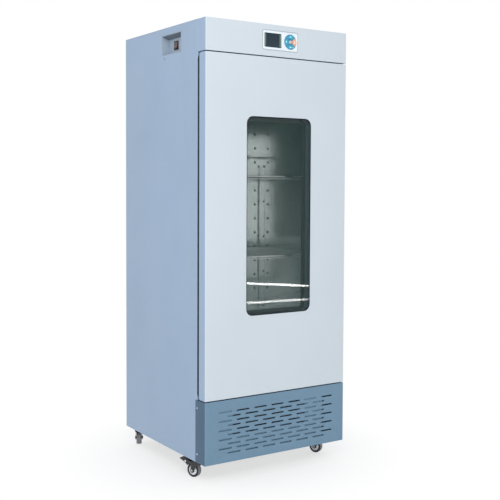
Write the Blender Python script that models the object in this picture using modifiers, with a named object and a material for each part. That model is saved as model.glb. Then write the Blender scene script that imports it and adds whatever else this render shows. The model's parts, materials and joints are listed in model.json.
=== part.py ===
"""A biochemical incubator: a tall insulated cabinet with a windowed door, on four swivel casters.

Metres, +Z up. The origin is on the floor, under the middle of the cabinet. The door faces -Y, its
hinges are at +X, and the power switch is in a recess in the -X side.

Most places are given from the cabinet's own corner: from its left side, from its front face and
from its underside. The functions across, back and up turn those into world coordinates.
"""

import math

import bmesh
import bpy
from mathutils import Matrix, Vector

# Cabinet
CABINET_WIDTH = 0.600
CABINET_DEPTH = 0.622
CABINET_HEIGHT = 1.520
CASTER_HEIGHT = 0.070
SHEET = 0.0012
SEAT = 0.0003
EDGE_RADIUS = 0.004
FRONT_DEPTH = 0.055
FLANGE_FRONT = 0.018
FLANGE_BACK = 0.015
BOTTOM_LIP = 0.004

# Header over the door
HEADER_HEIGHT = 0.110
BEZEL_WIDTH = 0.147
BEZEL_HEIGHT = 0.065
BEZEL_FROM_CENTRE = 0.0025
BEZEL_FROM_TOP = 0.0545
BEZEL_PROUD = 0.001
BEZEL_THICKNESS = 0.009
BEZEL_RADIUS = 0.005
SCREEN_WIDTH = 0.0725
SCREEN_HEIGHT = 0.0495
SCREEN_FROM_BEZEL = -0.03125
SCREEN_SUNK = 0.0018
BOARD_MARGIN = 0.004
BOARD_THICKNESS = 0.0016
KEYPAD_FROM_BEZEL = 0.043
KEYPAD_RADIUS = 0.0255
KEYPAD_GAP = 0.0008
KEY_RING_INNER = 0.0096
CENTRE_KEY_RADIUS = 0.006
CENTRE_WELL_GAP = 0.0006
KEY_RING_WALL = 0.0022
KEY_WELL_DEPTH = 0.006
KEY_PROUD = 0.0008
KEY_TRAVEL = 0.0006
KEY_SPACING = 0.0008
ORANGE_KEY_HALF = math.radians(36)

# Grille cover under the door
GRILLE_HEIGHT = 0.218
GRILLE_WRAP = 0.066
SLOT_LENGTH = 0.053
SLOT_HEIGHT = 0.005
SLOT_PITCH = 0.073
SLOT_ROW_PITCH = 0.016
SLOT_ROWS = 10
SLOTS_IN_LONG_ROW = 7
SLOTS_BELOW_TOP = 0.041

# Inner plate behind the grille
SILL_FROM_FRONT = 0.027
SILL_SHEET = 0.0015
SILL_WINDOW_FROM_LEFT = 0.107
SILL_WINDOW_WIDTH = 0.305
SILL_WINDOW_BOTTOM = 0.089
SIDE_WINDOW_FROM_RIGHT = 0.040
SIDE_WINDOW_WIDTH = 0.070
SIDE_WINDOW_BOTTOM = 0.035
SILL_WINDOWS_BELOW_TOP = 0.022
SILL_TOP_GAP = 0.0008

# Door
DOOR_GAP = 0.004
DOOR_THICKNESS = 0.0435
DOOR_BACK_RADIUS = 0.010
DOOR_LIP = 0.014
DOOR_LINER_SHEET = 0.0015
DOOR_LINER_MARGIN = 0.008
DOOR_LINER_RADIUS = 0.008
WINDOW_WIDTH = 0.275
WINDOW_RADIUS = 0.025
WINDOW_FROM_CENTRE = 0.002
WINDOW_ABOVE_DOOR_BOTTOM = 0.280
WINDOW_BELOW_DOOR_TOP = 0.208
SEAL_BEAD = 0.003
SEAL_COVER = 0.008
SEAL_FLANGE = 0.002
GLASS = 0.004
GLASS_COVER = 0.012
JAMB_WALL = 0.002
INNER_FRAME_WIDTH = 0.014
INNER_FRAME_DEPTH = 0.0075
GASKET_INSET = 0.020
GASKET_WIDTH = 0.014
GASKET_RADIUS = 0.006

# Hinge
HINGE_FROM_SIDE = 0.018
HINGE_FROM_FRONT = 0.020
HINGE_PIN_RADIUS = 0.004
HINGE_PIN_LENGTH = 0.012
HINGE_PIN_CLEARANCE = 0.0004
HINGE_BOSS_WALL = 0.004
HINGE_PLATE = 0.0022
HINGE_PLATE_WIDTH = 0.022
HINGE_LEG = 0.045
HINGE_NOTCH_GAP = 0.002

# Chamber
SIDE_WALL = 0.050
REAR_WALL = 0.0477
FLOOR_ABOVE_GRILLE = 0.057
CEILING_BELOW_HEADER = 0.040
DUCT_DEPTH = 0.083
LINER_SHEET = 0.001
FOAM_ABOVE_GRILLE = 0.007
FOAM_ABOVE_DOOR = 0.0045
BREAKER_THICKNESS = 0.003
MOUTH_RADIUS = 0.006
DUCT_SHEET = 0.0012
HOLE_PITCH = 0.0577
HOLE_RADIUS = 0.003
HOLE_COLUMN_FROM_WALL = 0.032
HOLE_ABOVE_FLOOR = 0.0257
HOLE_BELOW_CEILING = 0.030
VENT_SLOTS = 14
VENT_SLOT_WIDTH = 0.007
VENT_SLOT_INNER = 0.022
VENT_SLOT_OUTER = 0.060
RETURN_SLOTS = 6
RETURN_SLOT_LENGTH = 0.045
RETURN_SLOT_PITCH = 0.064
RETURN_SLOT_RISE = 0.030

# Shelves
LOWEST_SHELF = 0.138
SHELF_HOLES_APART = 5
SHELF_FRONT = 0.075
SHELF_RACK_GAP = 0.001
SHELF_BACK_GAP = 0.014
SHELF_RIM_RADIUS = 0.003
SHELF_CORNER = 0.012
SHELF_WIRE_RADIUS = 0.0016
SHELF_WIRES = 12
SHELF_BAR_RADIUS = 0.0025
SHELF_BARS = 2
SHELF_TRUSS_DROP = 0.009
TRUSS_INSET = 0.030
RACK_FRONT_GAP = 0.020
RACK_BACK_GAP = 0.016
RACK_UPRIGHT_WIDTH = 0.012
RACK_UPRIGHT_DEPTH = 0.0016
RACK_OVERRUN = 0.040
RAIL_WIDTH = 0.012
RAIL_HEIGHT = 0.014
RAIL_SHEET = 0.0015
RAIL_INSET = 0.004

# Temperature probe
PROBE_FROM_BACK = 0.020
PROBE_ABOVE_SHELF = 0.080
PROBE_LENGTH = 0.064
PROBE_RADIUS = 0.0025
PROBE_RING_RADIUS = 0.0065
PROBE_RING_WIRE = 0.002
PROBE_COLLAR_RADIUS = 0.006
PROBE_COLLAR = 0.004

# Air circulation behind the duct panel
FAN_BELOW_CEILING = 0.120
FAN_RADIUS = 0.062
FAN_HUB_RADIUS = 0.020
FAN_HUB_DEPTH = 0.016
FAN_BLADES = 5
FAN_FROM_DUCT = 0.008
FAN_MOTOR_RADIUS = 0.034
COIL_RADIUS = 0.005
COIL_SIDE_GAP = 0.027
COIL_RUNS = 8
COIL_PITCH = 0.056
COIL_BOTTOM = 0.620
HEATER_RADIUS = 0.004
HEATER_SIDE_GAP = 0.078
HEATER_RUNS = 4
HEATER_PITCH = 0.036
HEATER_BOTTOM = 0.440

# Refrigeration compartment
PAN_SHEET = 0.002
PAN_FLANGE = 0.020
PAN_FRONT = 0.006
CONDENSER_FRONT = 0.040
CONDENSER_WIDTH = 0.270
CONDENSER_DEPTH = 0.044
CONDENSER_HEIGHT = 0.185
CONDENSER_FROM_LEFT = 0.125
CONDENSER_FINS = 18
CONDENSER_FIN = 0.002
CONDENSER_SPINE = 0.006
SHROUD_SIZE = 0.190
SHROUD_DEPTH = 0.030
SHROUD_BORE = 0.082
SHROUD_GAP = 0.0006
COOLING_FAN_RADIUS = 0.077
COOLING_FAN_HUB_RADIUS = 0.024
COOLING_FAN_BLADES = 6
COOLING_MOTOR_RADIUS = 0.032
COOLING_MOTOR_LENGTH = 0.040
STRUT_WIDTH = 0.010
STRUT_DEPTH = 0.006
COMPRESSOR_FROM_LEFT = 0.200
COMPRESSOR_FROM_FRONT = 0.400
COMPRESSOR_RADIUS = 0.072
COMPRESSOR_HEIGHT = 0.150
COMPRESSOR_FOOT = (0.190, 0.130)
COMPRESSOR_PLATE = 0.004
GROMMET_RADIUS = 0.010
GROMMET_HEIGHT = 0.014

# Mains inlet in the back
INLET_FROM_LEFT = 0.500
INLET_HEIGHT = 0.110
INLET_WIDTH = 0.028
INLET_RISE = 0.020
INLET_WALL = 0.002
INLET_DEPTH = 0.020
INLET_FLANGE = 0.006
BACK_VENT_ROWS = 8
BACK_VENT_COLUMNS = 2
BACK_VENT_PITCH = 0.018
BACK_VENT_SPACING = 0.130
BACK_VENT_LENGTH = 0.110
BACK_VENT_HEIGHT = 0.006
BACK_VENT_FROM_LEFT = 0.160
BACK_VENT_LOWEST = 0.040

# Power switch in the left side
POCKET_FRONT = 0.171
POCKET_LENGTH = 0.147
POCKET_BELOW_TOP = 0.0248
POCKET_RISE = 0.0722
POCKET_DEPTH = 0.027
POCKET_WALL = 0.0015
POCKET_DRAFT = 0.003
POCKET_CEILING_DRAFT = 0.011
POCKET_FLANGE = 0.008
SWITCH_FROM_FRONT = 0.255
SWITCH_ABOVE_POCKET = 0.034
SWITCH_WIDTH = 0.030
SWITCH_RISE = 0.032
SWITCH_RIM = 0.002
SWITCH_RIM_WIDTH = 0.003
SWITCH_BODY_INSET = 0.002
SWITCH_BODY_DEPTH = 0.020
SWITCH_BODY_FLOOR = 0.002
ROCKER_GAP = 0.0005
ROCKER_TILT = math.radians(8)
ROCKER_RISE = 0.0030

# Casters, in a frame whose x runs from the kingpin back over the wheel
CASTER_FROM_SIDE = 0.032
CASTER_FROM_FRONT = 0.103
CASTER_FROM_BACK = 0.047
FRONT_CASTER_TURN = math.radians(25)
REAR_CASTER_TURN = math.radians(-26)
WHEEL_RADIUS = 0.025
WHEEL_WIDTH = 0.020
WHEEL_CHAMFER = 0.003
WHEEL_SIDES = 24
WHEEL_TRAIL = 0.016
AXLE_RADIUS = 0.004
AXLE_CLEARANCE = 0.0004
AXLE_HEAD = 0.0025
AXLE_HEAD_RADIUS = 0.0065
FORK_SHEET = 0.002
EAR_SHEET = 0.0016
FORK_SIDE_GAP = 0.0012
FORK_TOP_GAP = 0.004
FORK_TOP_LENGTH = 0.034
FORK_EYE_RADIUS = 0.009
RACE_RADIUS = 0.017
PLATE_THICKNESS = 0.003
PLATE_LENGTH = 0.062
PLATE_WIDTH = 0.054
PLATE_RADIUS = 0.006
PEDAL_PIVOT_REACH = 0.046
PEDAL_PIVOT_DROP = 0.002
PEDAL_PIN_RADIUS = 0.0025
PEDAL_PIN_CLEARANCE = 0.0003
PEDAL_EYE_RADIUS = 0.006
PEDAL_SIDE_GAP = 0.0006
PEDAL_LENGTH = 0.025
PEDAL_RISE = 0.006
PEDAL_TIP_RADIUS = 0.0015
PEDAL_TRAVEL = math.radians(20)
BRAKE_NOSE_RADIUS = 0.002
BRAKE_GAP = 0.0004

ARC_STEPS = 4
ROUND_SIDES = 24

MODEL = bpy.data.collections.new("incubator")
CUTTERS = bpy.data.collections.new("cutters")


def across(distance):
    """World x of a point this far from the cabinet's left side."""
    return distance - CABINET_WIDTH / 2


def back(distance):
    """World y of a point this far behind the cabinet's front face."""
    return distance - CABINET_DEPTH / 2


def up(distance):
    """World z of a point this far above the cabinet's underside."""
    return distance + CASTER_HEIGHT


LEFT, RIGHT = across(0), across(CABINET_WIDTH)
FRONT, BACK = back(0), back(CABINET_DEPTH)
BOTTOM, TOP = up(0), up(CABINET_HEIGHT)
DOOR_BOTTOM = up(GRILLE_HEIGHT + DOOR_GAP)
DOOR_TOP = up(CABINET_HEIGHT - HEADER_HEIGHT - DOOR_GAP)
DOOR_SKIN_BACK = back(DOOR_THICKNESS - DOOR_LINER_SHEET - SEAT)
BODY_FRONT = back(FRONT_DEPTH)
SHELL_BACK = BACK - SHEET - SEAT
FOAM_FRONT = BODY_FRONT + BREAKER_THICKNESS + SEAT
LINER_BACK = BACK - REAR_WALL
CHAMBER_BACK = LINER_BACK - DUCT_DEPTH
CHAMBER_HALF = CABINET_WIDTH / 2 - SIDE_WALL
CHAMBER_FLOOR = up(GRILLE_HEIGHT + FLOOR_ABOVE_GRILLE)
CHAMBER_CEILING = up(CABINET_HEIGHT - HEADER_HEIGHT - CEILING_BELOW_HEADER)
FAN_Z = CHAMBER_CEILING - FAN_BELOW_CEILING
WINDOW_BOTTOM = DOOR_BOTTOM + WINDOW_ABOVE_DOOR_BOTTOM
WINDOW_TOP = DOOR_TOP - WINDOW_BELOW_DOOR_TOP
INNER_HALF = CABINET_WIDTH / 2 - SHEET - SEAT
HINGE_X = RIGHT - HINGE_FROM_SIDE
HINGE_Y = FRONT + HINGE_FROM_FRONT
LIP = FRONT_DEPTH - SEAT - HINGE_PLATE - HINGE_NOTCH_GAP
PAN_TOP = BOTTOM + PAN_SHEET
SHELF_NAMES = ("shelf_top", "shelf_middle", "shelf_bottom")
SHELF_RISE = SHELF_HOLES_APART * HOLE_PITCH
SHELF_LEVELS = [CHAMBER_FLOOR + LOWEST_SHELF + n * SHELF_RISE for n in reversed(range(len(SHELF_NAMES)))]


# Materials

def material(name, colour, roughness, metallic=0.0, alpha=1.0):
    """A Principled material with one colour."""
    made = bpy.data.materials.new(name)
    made.use_nodes = True
    shader = made.node_tree.nodes["Principled BSDF"]
    shader.inputs["Base Color"].default_value = (*colour, 1.0)
    shader.inputs["Roughness"].default_value = roughness
    shader.inputs["Metallic"].default_value = metallic
    shader.inputs["Alpha"].default_value = alpha
    made.diffuse_color = (*colour, alpha)
    return made


BLUE_PAINT = material("blue_grey_paint", (0.33, 0.43, 0.56), 0.45)
WHITE_PAINT = material("white_paint", (0.78, 0.82, 0.86), 0.35)
GRILLE_PAINT = material("grille_paint", (0.17, 0.29, 0.39), 0.45)
GALVANISED = material("galvanised_steel", (0.55, 0.57, 0.58), 0.4, 0.9)
STAINLESS = material("stainless_steel", (0.62, 0.64, 0.64), 0.25, 1.0)
CHROME = material("chromed_wire", (0.75, 0.76, 0.77), 0.15, 1.0)
FOAM = material("insulation_foam", (0.80, 0.74, 0.55), 0.9)
WHITE_PLASTIC = material("white_plastic", (0.88, 0.89, 0.90), 0.35)
GREY_PLASTIC = material("grey_plastic", (0.30, 0.33, 0.36), 0.5)
BLACK_PLASTIC = material("black_plastic", (0.02, 0.02, 0.025), 0.45)
RED_PLASTIC = material("red_plastic", (0.35, 0.02, 0.03), 0.3)
SCREEN = material("screen", (0.03, 0.06, 0.08), 0.15)
TEAL_KEY = material("teal_key", (0.05, 0.32, 0.48), 0.35)
ORANGE_KEY = material("orange_key", (0.80, 0.42, 0.28), 0.35)
SILVER_KEY = material("silver_key", (0.60, 0.64, 0.70), 0.35)
RUBBER = material("dark_rubber", (0.03, 0.035, 0.04), 0.7)
TYRE = material("tyre", (0.04, 0.04, 0.045), 0.75)
CLEAR_GLASS = material("clear_glass", (0.80, 0.88, 0.86), 0.05, alpha=0.25)
BLACK_STEEL = material("black_steel", (0.03, 0.035, 0.045), 0.4, 0.6)
COPPER = material("copper", (0.65, 0.32, 0.20), 0.3, 1.0)
ALUMINIUM = material("aluminium", (0.70, 0.71, 0.72), 0.35, 1.0)


# Building blocks

def add(name, data, finish, place=None):
    """Put a mesh or a curve in the model, or with no finish among the cutters."""
    made = bpy.data.objects.new(name, data)
    if place is not None:
        made.matrix_world = place
    if finish is None:
        CUTTERS.objects.link(made)
        made.hide_render = True
        made.display_type = "WIRE"
    else:
        MODEL.objects.link(made)
        data.materials.append(finish)
    return made


def block(name, low, high, finish):
    """A box between two corners, with its origin at its middle."""
    low, high = Vector(low), Vector(high)
    mesh = bpy.data.meshes.new(name)
    work = bmesh.new()
    bmesh.ops.create_cube(work, size=1.0)
    bmesh.ops.scale(work, vec=high - low, verts=work.verts)
    work.to_mesh(mesh)
    work.free()
    return add(name, mesh, finish, Matrix.Translation((low + high) / 2))


AXES = {
    "X": Matrix(((0, 0, 1), (1, 0, 0), (0, 1, 0))).to_4x4(),
    "Y": Matrix(((1, 0, 0), (0, 0, -1), (0, 1, 0))).to_4x4(),
    "Z": Matrix.Identity(4),
}


def sheet_piece(name, loops, normal, low, high, finish, place=None):
    """Flat outlines, the first the outer one, extruded from low to high along X, Y or Z.

    An outline's points are (y, z) for X, (x, z) for Y and (x, y) for Z.
    """
    curve = bpy.data.curves.new(name, "CURVE")
    curve.dimensions = "2D"
    curve.fill_mode = "BOTH"
    curve.extrude = (high - low) / 2
    for loop in loops:
        spline = curve.splines.new("POLY")
        spline.points.add(len(loop) - 1)
        spline.use_cyclic_u = True
        for point, (a, b) in zip(spline.points, loop):
            point.co = (a, b, 0, 1)
    middle = {"X": 0, "Y": 1, "Z": 2}[normal]
    shift = Vector((0, 0, 0))
    shift[middle] = (high + low) / 2
    matrix = Matrix.Translation(shift) @ AXES[normal]
    if place is not None:
        matrix = place @ matrix
    return as_mesh(add(name, curve, finish, matrix))


def as_mesh(made):
    """The object's evaluated shape as a welded mesh object in its place."""
    depsgraph = bpy.context.evaluated_depsgraph_get()
    depsgraph.update()
    mesh = bpy.data.meshes.new_from_object(made.evaluated_get(depsgraph))
    work = bmesh.new()
    work.from_mesh(mesh)
    bmesh.ops.remove_doubles(work, verts=work.verts, dist=1e-6)
    bmesh.ops.recalc_face_normals(work, faces=work.faces)
    work.to_mesh(mesh)
    work.free()
    name, matrix = made.name, made.matrix_world.copy()
    cutter = made.hide_render
    finish = None if cutter else made.data.materials[0]
    bpy.data.objects.remove(made)
    mesh.materials.clear()
    mesh.name = name
    return add(name, mesh, finish, matrix)


def turned(name, profile, place, finish, sides=ROUND_SIDES):
    """A profile of (radius, height) points, bottom to top, turned round its place's Z axis."""
    mesh = bpy.data.meshes.new(name)
    points = [(0, profile[0][1])] if profile[0][0] else []
    points += profile
    points += [(0, profile[-1][1])] if profile[-1][0] else []
    points.reverse()
    mesh.from_pydata([(r, 0, z) for r, z in points], [(n, n + 1) for n in range(len(points) - 1)], [])
    made = add(name, mesh, finish, place)
    screw = made.modifiers.new("turn", "SCREW")
    screw.angle = math.tau
    screw.steps = sides
    screw.render_steps = sides
    screw.use_merge_vertices = True
    screw.merge_threshold = 1e-5
    made = as_mesh(made)
    made.data.shade_smooth()
    made.data.set_sharp_from_angle(angle=math.radians(35))
    return made


def tube(name, points, radius, finish, closed=False, resolution=2):
    """A round wire or pipe through the points."""
    curve = bpy.data.curves.new(name, "CURVE")
    curve.dimensions = "3D"
    curve.bevel_depth = radius
    curve.bevel_resolution = resolution
    curve.use_fill_caps = True
    spline = curve.splines.new("POLY")
    spline.points.add(len(points) - 1)
    spline.use_cyclic_u = closed
    for point, place in zip(spline.points, points):
        point.co = (*place, 1)
    return as_mesh(add(name, curve, finish))


def combine(target, other, operation):
    """Apply one Boolean step to the target, and remove the other object."""
    step = target.modifiers.new(operation.lower(), "BOOLEAN")
    step.operation = operation
    step.object = other
    depsgraph = bpy.context.evaluated_depsgraph_get()
    depsgraph.update()
    mesh = bpy.data.meshes.new_from_object(target.evaluated_get(depsgraph))
    finish = target.data.materials[0] if target.data.materials else None
    target.modifiers.clear()
    target.data = mesh
    mesh.materials.clear()
    if finish is not None:
        mesh.materials.append(finish)
    bpy.data.objects.remove(other)
    return target


def cut(target, *others):
    """Take each of the other solids out of the target."""
    for other in others:
        combine(target, other, "DIFFERENCE")
    return target


def join(target, *others):
    """Fuse each of the other solids with the target."""
    for other in others:
        combine(target, other, "UNION")
    return target


def centred(piece, point):
    """Move a piece's origin to a point of its joint's axis, and leave the piece where it is."""
    place = Matrix.Translation(point)
    piece.data.transform(place.inverted() @ piece.matrix_world)
    piece.matrix_world = place
    return piece


def carried(parent, *pieces):
    """Parent pieces to what carries them, each left in its place."""
    for piece in pieces:
        place = piece.matrix_world.copy()
        piece.parent = parent
        piece.matrix_parent_inverse = parent.matrix_world.inverted()
        piece.matrix_basis = place
    return parent


def axis_empty(name, point):
    """An empty on a joint's axis."""
    made = bpy.data.objects.new(name, None)
    made.matrix_world = Matrix.Translation(point)
    made.empty_display_size = CASTER_HEIGHT
    MODEL.objects.link(made)
    return made


def merged(name, pieces, finish):
    """Several solids that don't meet, held in one object, for use as one cutter or one addition."""
    work = bmesh.new()
    for piece in pieces:
        copy = piece.data.copy()
        copy.transform(piece.matrix_world)
        work.from_mesh(copy)
        bpy.data.meshes.remove(copy)
        bpy.data.objects.remove(piece)
    mesh = bpy.data.meshes.new(name)
    work.to_mesh(mesh)
    work.free()
    mesh.materials.clear()
    return add(name, mesh, finish)


# Outlines

def arc(centre_a, centre_b, radius, start, end, steps=ARC_STEPS):
    """Points on an arc, its ends included, between two angles in quarter turns."""
    angles = [math.pi / 2 * (start + (end - start) * n / steps) for n in range(steps + 1)]
    return [(centre_a + radius * math.cos(t), centre_b + radius * math.sin(t)) for t in angles]


def rectangle(a0, b0, a1, b1, radius=0.0, steps=ARC_STEPS):
    """A rectangle's outline, its corners rounded where a radius is given."""
    if radius == 0:
        return [(a0, b0), (a1, b0), (a1, b1), (a0, b1)]
    r = radius
    return (
        arc(a0 + r, b0 + r, r, 2, 3, steps)
        + arc(a1 - r, b0 + r, r, 3, 4, steps)
        + arc(a1 - r, b1 - r, r, 0, 1, steps)
        + arc(a0 + r, b1 - r, r, 1, 2, steps)
    )


def circle(centre_a, centre_b, radius, sides=ROUND_SIDES):
    """A circle's outline, with a flat at its lowest point."""
    angles = [math.tau * (n + 0.5) / sides - math.pi / 2 for n in range(sides)]
    return [(centre_a + radius * math.cos(t), centre_b + radius * math.sin(t)) for t in angles]


def slot(centre_a, centre_b, length, height, steps=2):
    """A slot's outline, with round ends, along the first direction."""
    r, reach = height / 2, length / 2 - height / 2
    right = arc(centre_a + reach, centre_b, r, -1, 1, steps)
    return right + arc(centre_a - reach, centre_b, r, 1, 3, steps)


def link(first, second, first_radius, second_radius, steps=5):
    """The outline round two circles and their outer tangents."""
    da, db = second[0] - first[0], second[1] - first[1]
    along = math.atan2(db, da) / (math.pi / 2)
    lean = math.acos((first_radius - second_radius) / math.hypot(da, db)) / (math.pi / 2)
    far = arc(*second, second_radius, along - lean, along + lean, steps)
    return far + arc(*first, first_radius, along + lean, along + 4 - lean, steps)


def front_rounded(y0, y1, half, radius):
    """A plan outline with a flat back and round front corners."""
    if radius <= 0:
        return rectangle(-half, y0, half, y1)
    left = arc(-half + radius, y0 + radius, radius, 2, 3)
    return left + arc(half - radius, y0 + radius, radius, 3, 4) + [(half, y1), (-half, y1)]


def folded(path, thickness):
    """The outline of a sheet folded along a path, its thickness laid to the path's left."""
    inner = []
    for n, (a, b) in enumerate(path):
        normals = []
        for first, second in ((n - 1, n), (n, n + 1)):
            if first < 0 or second >= len(path):
                continue
            da, db = path[second][0] - path[first][0], path[second][1] - path[first][1]
            length = math.hypot(da, db)
            normals.append((-db / length, da / length))
        shift = [sum(values) for values in zip(*normals)]
        scale = thickness * len(normals) / (shift[0] ** 2 + shift[1] ** 2)
        inner.append((a + shift[0] * scale, b + shift[1] * scale))
    return path + inner[::-1]


def serpentine(x_half, z_bottom, pitch, runs, y):
    """Points of a coil of level runs joined by half circles, from the bottom up."""
    points = []
    for n in range(runs):
        z = z_bottom + n * pitch
        side = 1 if n % 2 == 0 else -1
        points.append((-side * x_half, y, z))
        if n < runs - 1:
            for t in range(6):
                angle = -math.pi / 2 + math.pi * t / 5
                points.append((
                    side * (x_half + pitch / 2 * math.cos(angle)),
                    y,
                    z + pitch / 2 + pitch / 2 * math.sin(angle),
                ))
        else:
            points.append((side * x_half, y, z))
    return list(dict.fromkeys(points))


# Outer casing

def side_panel(name, side):
    """A side sheet with folded front and rear flanges, notched where the grille cover wraps round."""
    edge = side * CABINET_WIDTH / 2
    path = [
        (edge - side * FLANGE_FRONT, BODY_FRONT),
        (edge, BODY_FRONT),
        (edge, SHELL_BACK),
        (edge - side * FLANGE_BACK, SHELL_BACK),
    ]
    if side < 0:
        path.reverse()
    panel = sheet_piece(name, [folded(path, SHEET)], "Z", BOTTOM, TOP - SHEET - SEAT, BLUE_PAINT)
    notch = block(
        "notch",
        (edge - 2 * FLANGE_FRONT, FRONT, BOTTOM - SHEET),
        (edge + 2 * FLANGE_FRONT, back(GRILLE_WRAP), up(GRILLE_HEIGHT)),
        None,
    )
    return cut(panel, notch)


def pocket_hole(grow):
    """The outline, in y and z, of the switch recess, grown or shrunk."""
    high = TOP - POCKET_BELOW_TOP
    return rectangle(
        back(POCKET_FRONT) - grow,
        high - POCKET_RISE - grow,
        back(POCKET_FRONT + POCKET_LENGTH) + grow,
        high + grow,
    )


def left_panel():
    """The left side, with the opening for the switch recess."""
    panel = side_panel("side_panel_left", -1)
    return cut(panel, sheet_piece("opening", [pocket_hole(0)], "X", LEFT - SHEET, LEFT + 2 * SHEET, None))


def top_panel():
    """The sheet over the body, behind the header."""
    return block(
        "top_panel",
        (LEFT, BODY_FRONT + SEAT, TOP - SHEET),
        (RIGHT, BACK, TOP),
        BLUE_PAINT,
    )


def back_panel():
    """The back sheet, with vents for the refrigeration compartment and the inlet's opening."""
    outline = rectangle(LEFT, BOTTOM, RIGHT, TOP - SHEET - SEAT)
    vents = []
    for row in range(BACK_VENT_ROWS):
        z = up(BACK_VENT_LOWEST + row * BACK_VENT_PITCH)
        for column in range(BACK_VENT_COLUMNS):
            x = across(BACK_VENT_FROM_LEFT) + column * BACK_VENT_SPACING
            vents.append(slot(x, z, BACK_VENT_LENGTH, BACK_VENT_HEIGHT))
    loops = [outline, *vents, inlet_outline(SEAT)]
    return sheet_piece("back_panel", loops, "Y", BACK - SHEET, BACK, BLUE_PAINT)


def base_pan():
    """The floor of the refrigeration compartment, its sides folded up."""
    path = [
        (-INNER_HALF, BOTTOM + PAN_FLANGE),
        (-INNER_HALF, BOTTOM),
        (INNER_HALF, BOTTOM),
        (INNER_HALF, BOTTOM + PAN_FLANGE),
    ]
    rear = SHELL_BACK - SHEET - SEAT
    return sheet_piece("base_pan", [folded(path, PAN_SHEET)], "Y", back(PAN_FRONT), rear, GALVANISED)


def fronted_shell(name, z0, z1, depth, finish):
    """A cover with a front, two sides, and plates turned back along its top and bottom edges."""
    half = CABINET_WIDTH / 2
    shell = sheet_piece(name, [front_rounded(FRONT, FRONT + depth, half, EDGE_RADIUS)], "Z", z0, z1, finish)
    inner = front_rounded(FRONT + SHEET, FRONT + 2 * depth, half - SHEET, EDGE_RADIUS - SHEET)
    return cut(shell, sheet_piece("hollow", [inner], "Z", z0 + SHEET, z1 - SHEET, None))


def trimmed(shell, z, lip):
    """Cut a cover's top or bottom plate back to a lip this deep."""
    half = CABINET_WIDTH / 2 - SHEET
    low, high = (-half, FRONT + lip, z - 2 * SHEET), (half, BODY_FRONT + GRILLE_WRAP, z + 2 * SHEET)
    return cut(shell, block("beyond", low, high, None))


def bezel_box(grow):
    """Left, bottom, right and top of the control bezel, grown all round."""
    x = BEZEL_FROM_CENTRE
    z = TOP - BEZEL_FROM_TOP
    return (
        x - BEZEL_WIDTH / 2 - grow,
        z - BEZEL_HEIGHT / 2 - grow,
        x + BEZEL_WIDTH / 2 + grow,
        z + BEZEL_HEIGHT / 2 + grow,
    )


def header_fascia():
    """The front of the header, cut out for the control bezel."""
    shell = fronted_shell("header_fascia", TOP - HEADER_HEIGHT, TOP, FRONT_DEPTH, WHITE_PAINT)
    trimmed(shell, TOP - HEADER_HEIGHT, LIP)
    loops = [rectangle(*bezel_box(SEAT), BEZEL_RADIUS + SEAT)]
    return cut(shell, sheet_piece("opening", loops, "Y", FRONT - SHEET, FRONT + 2 * SHEET, None))


def grille_slots():
    """Staggered slot outlines, in x and z."""
    slots = []
    for row in range(SLOT_ROWS):
        count = SLOTS_IN_LONG_ROW - row % 2
        z = up(GRILLE_HEIGHT - SLOTS_BELOW_TOP - row * SLOT_ROW_PITCH)
        for n in range(count):
            x = (n - (count - 1) / 2) * SLOT_PITCH
            slots.append(slot(x, z, SLOT_LENGTH, SLOT_HEIGHT))
    return slots


def grille_cover():
    """The slotted cover in front of the refrigeration compartment."""
    shell = fronted_shell("grille_cover", BOTTOM, up(GRILLE_HEIGHT), GRILLE_WRAP - SEAT, GRILLE_PAINT)
    trimmed(shell, up(GRILLE_HEIGHT), LIP)
    trimmed(shell, BOTTOM, BOTTOM_LIP)
    low, high = FRONT - SHEET, FRONT + 2 * SHEET
    slots = [sheet_piece("slot", [outline], "Y", low, high, None) for outline in grille_slots()]
    return cut(shell, merged("slots", slots, None))


def front_sill():
    """The inner plate behind the grille, open in front of the condenser and at the right."""
    top = up(GRILLE_HEIGHT) - SHEET - SILL_TOP_GAP
    y = back(SILL_FROM_FRONT)
    path = [(y, PAN_TOP + SEAT), (y, top), (BODY_FRONT - SEAT, top)]
    half = INNER_HALF - PAN_SHEET - SEAT
    sill = sheet_piece("front_sill", [folded(path[::-1], SILL_SHEET)], "X", -half, half, BLUE_PAINT)
    high = up(GRILLE_HEIGHT - SILL_WINDOWS_BELOW_TOP)
    left, right = across(SILL_WINDOW_FROM_LEFT), RIGHT - SIDE_WINDOW_FROM_RIGHT - SIDE_WINDOW_WIDTH
    for x, width, low in (
        (left, SILL_WINDOW_WIDTH, up(SILL_WINDOW_BOTTOM)),
        (right, SIDE_WINDOW_WIDTH, up(SIDE_WINDOW_BOTTOM)),
    ):
        cut(sill, block("window", (x, y - SILL_SHEET, low), (x + width, y + 2 * SILL_SHEET, high), None))
    clear = HINGE_NOTCH_GAP
    notch = block(
        "notch",
        (HINGE_X - HINGE_PLATE_WIDTH / 2 - clear, BODY_FRONT - HINGE_PLATE - clear, top - 2 * SILL_SHEET),
        (HINGE_X + HINGE_PLATE_WIDTH / 2 + clear, BODY_FRONT + clear, top + 2 * SILL_SHEET),
        None,
    )
    return cut(sill, notch)


# Control panel

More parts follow.
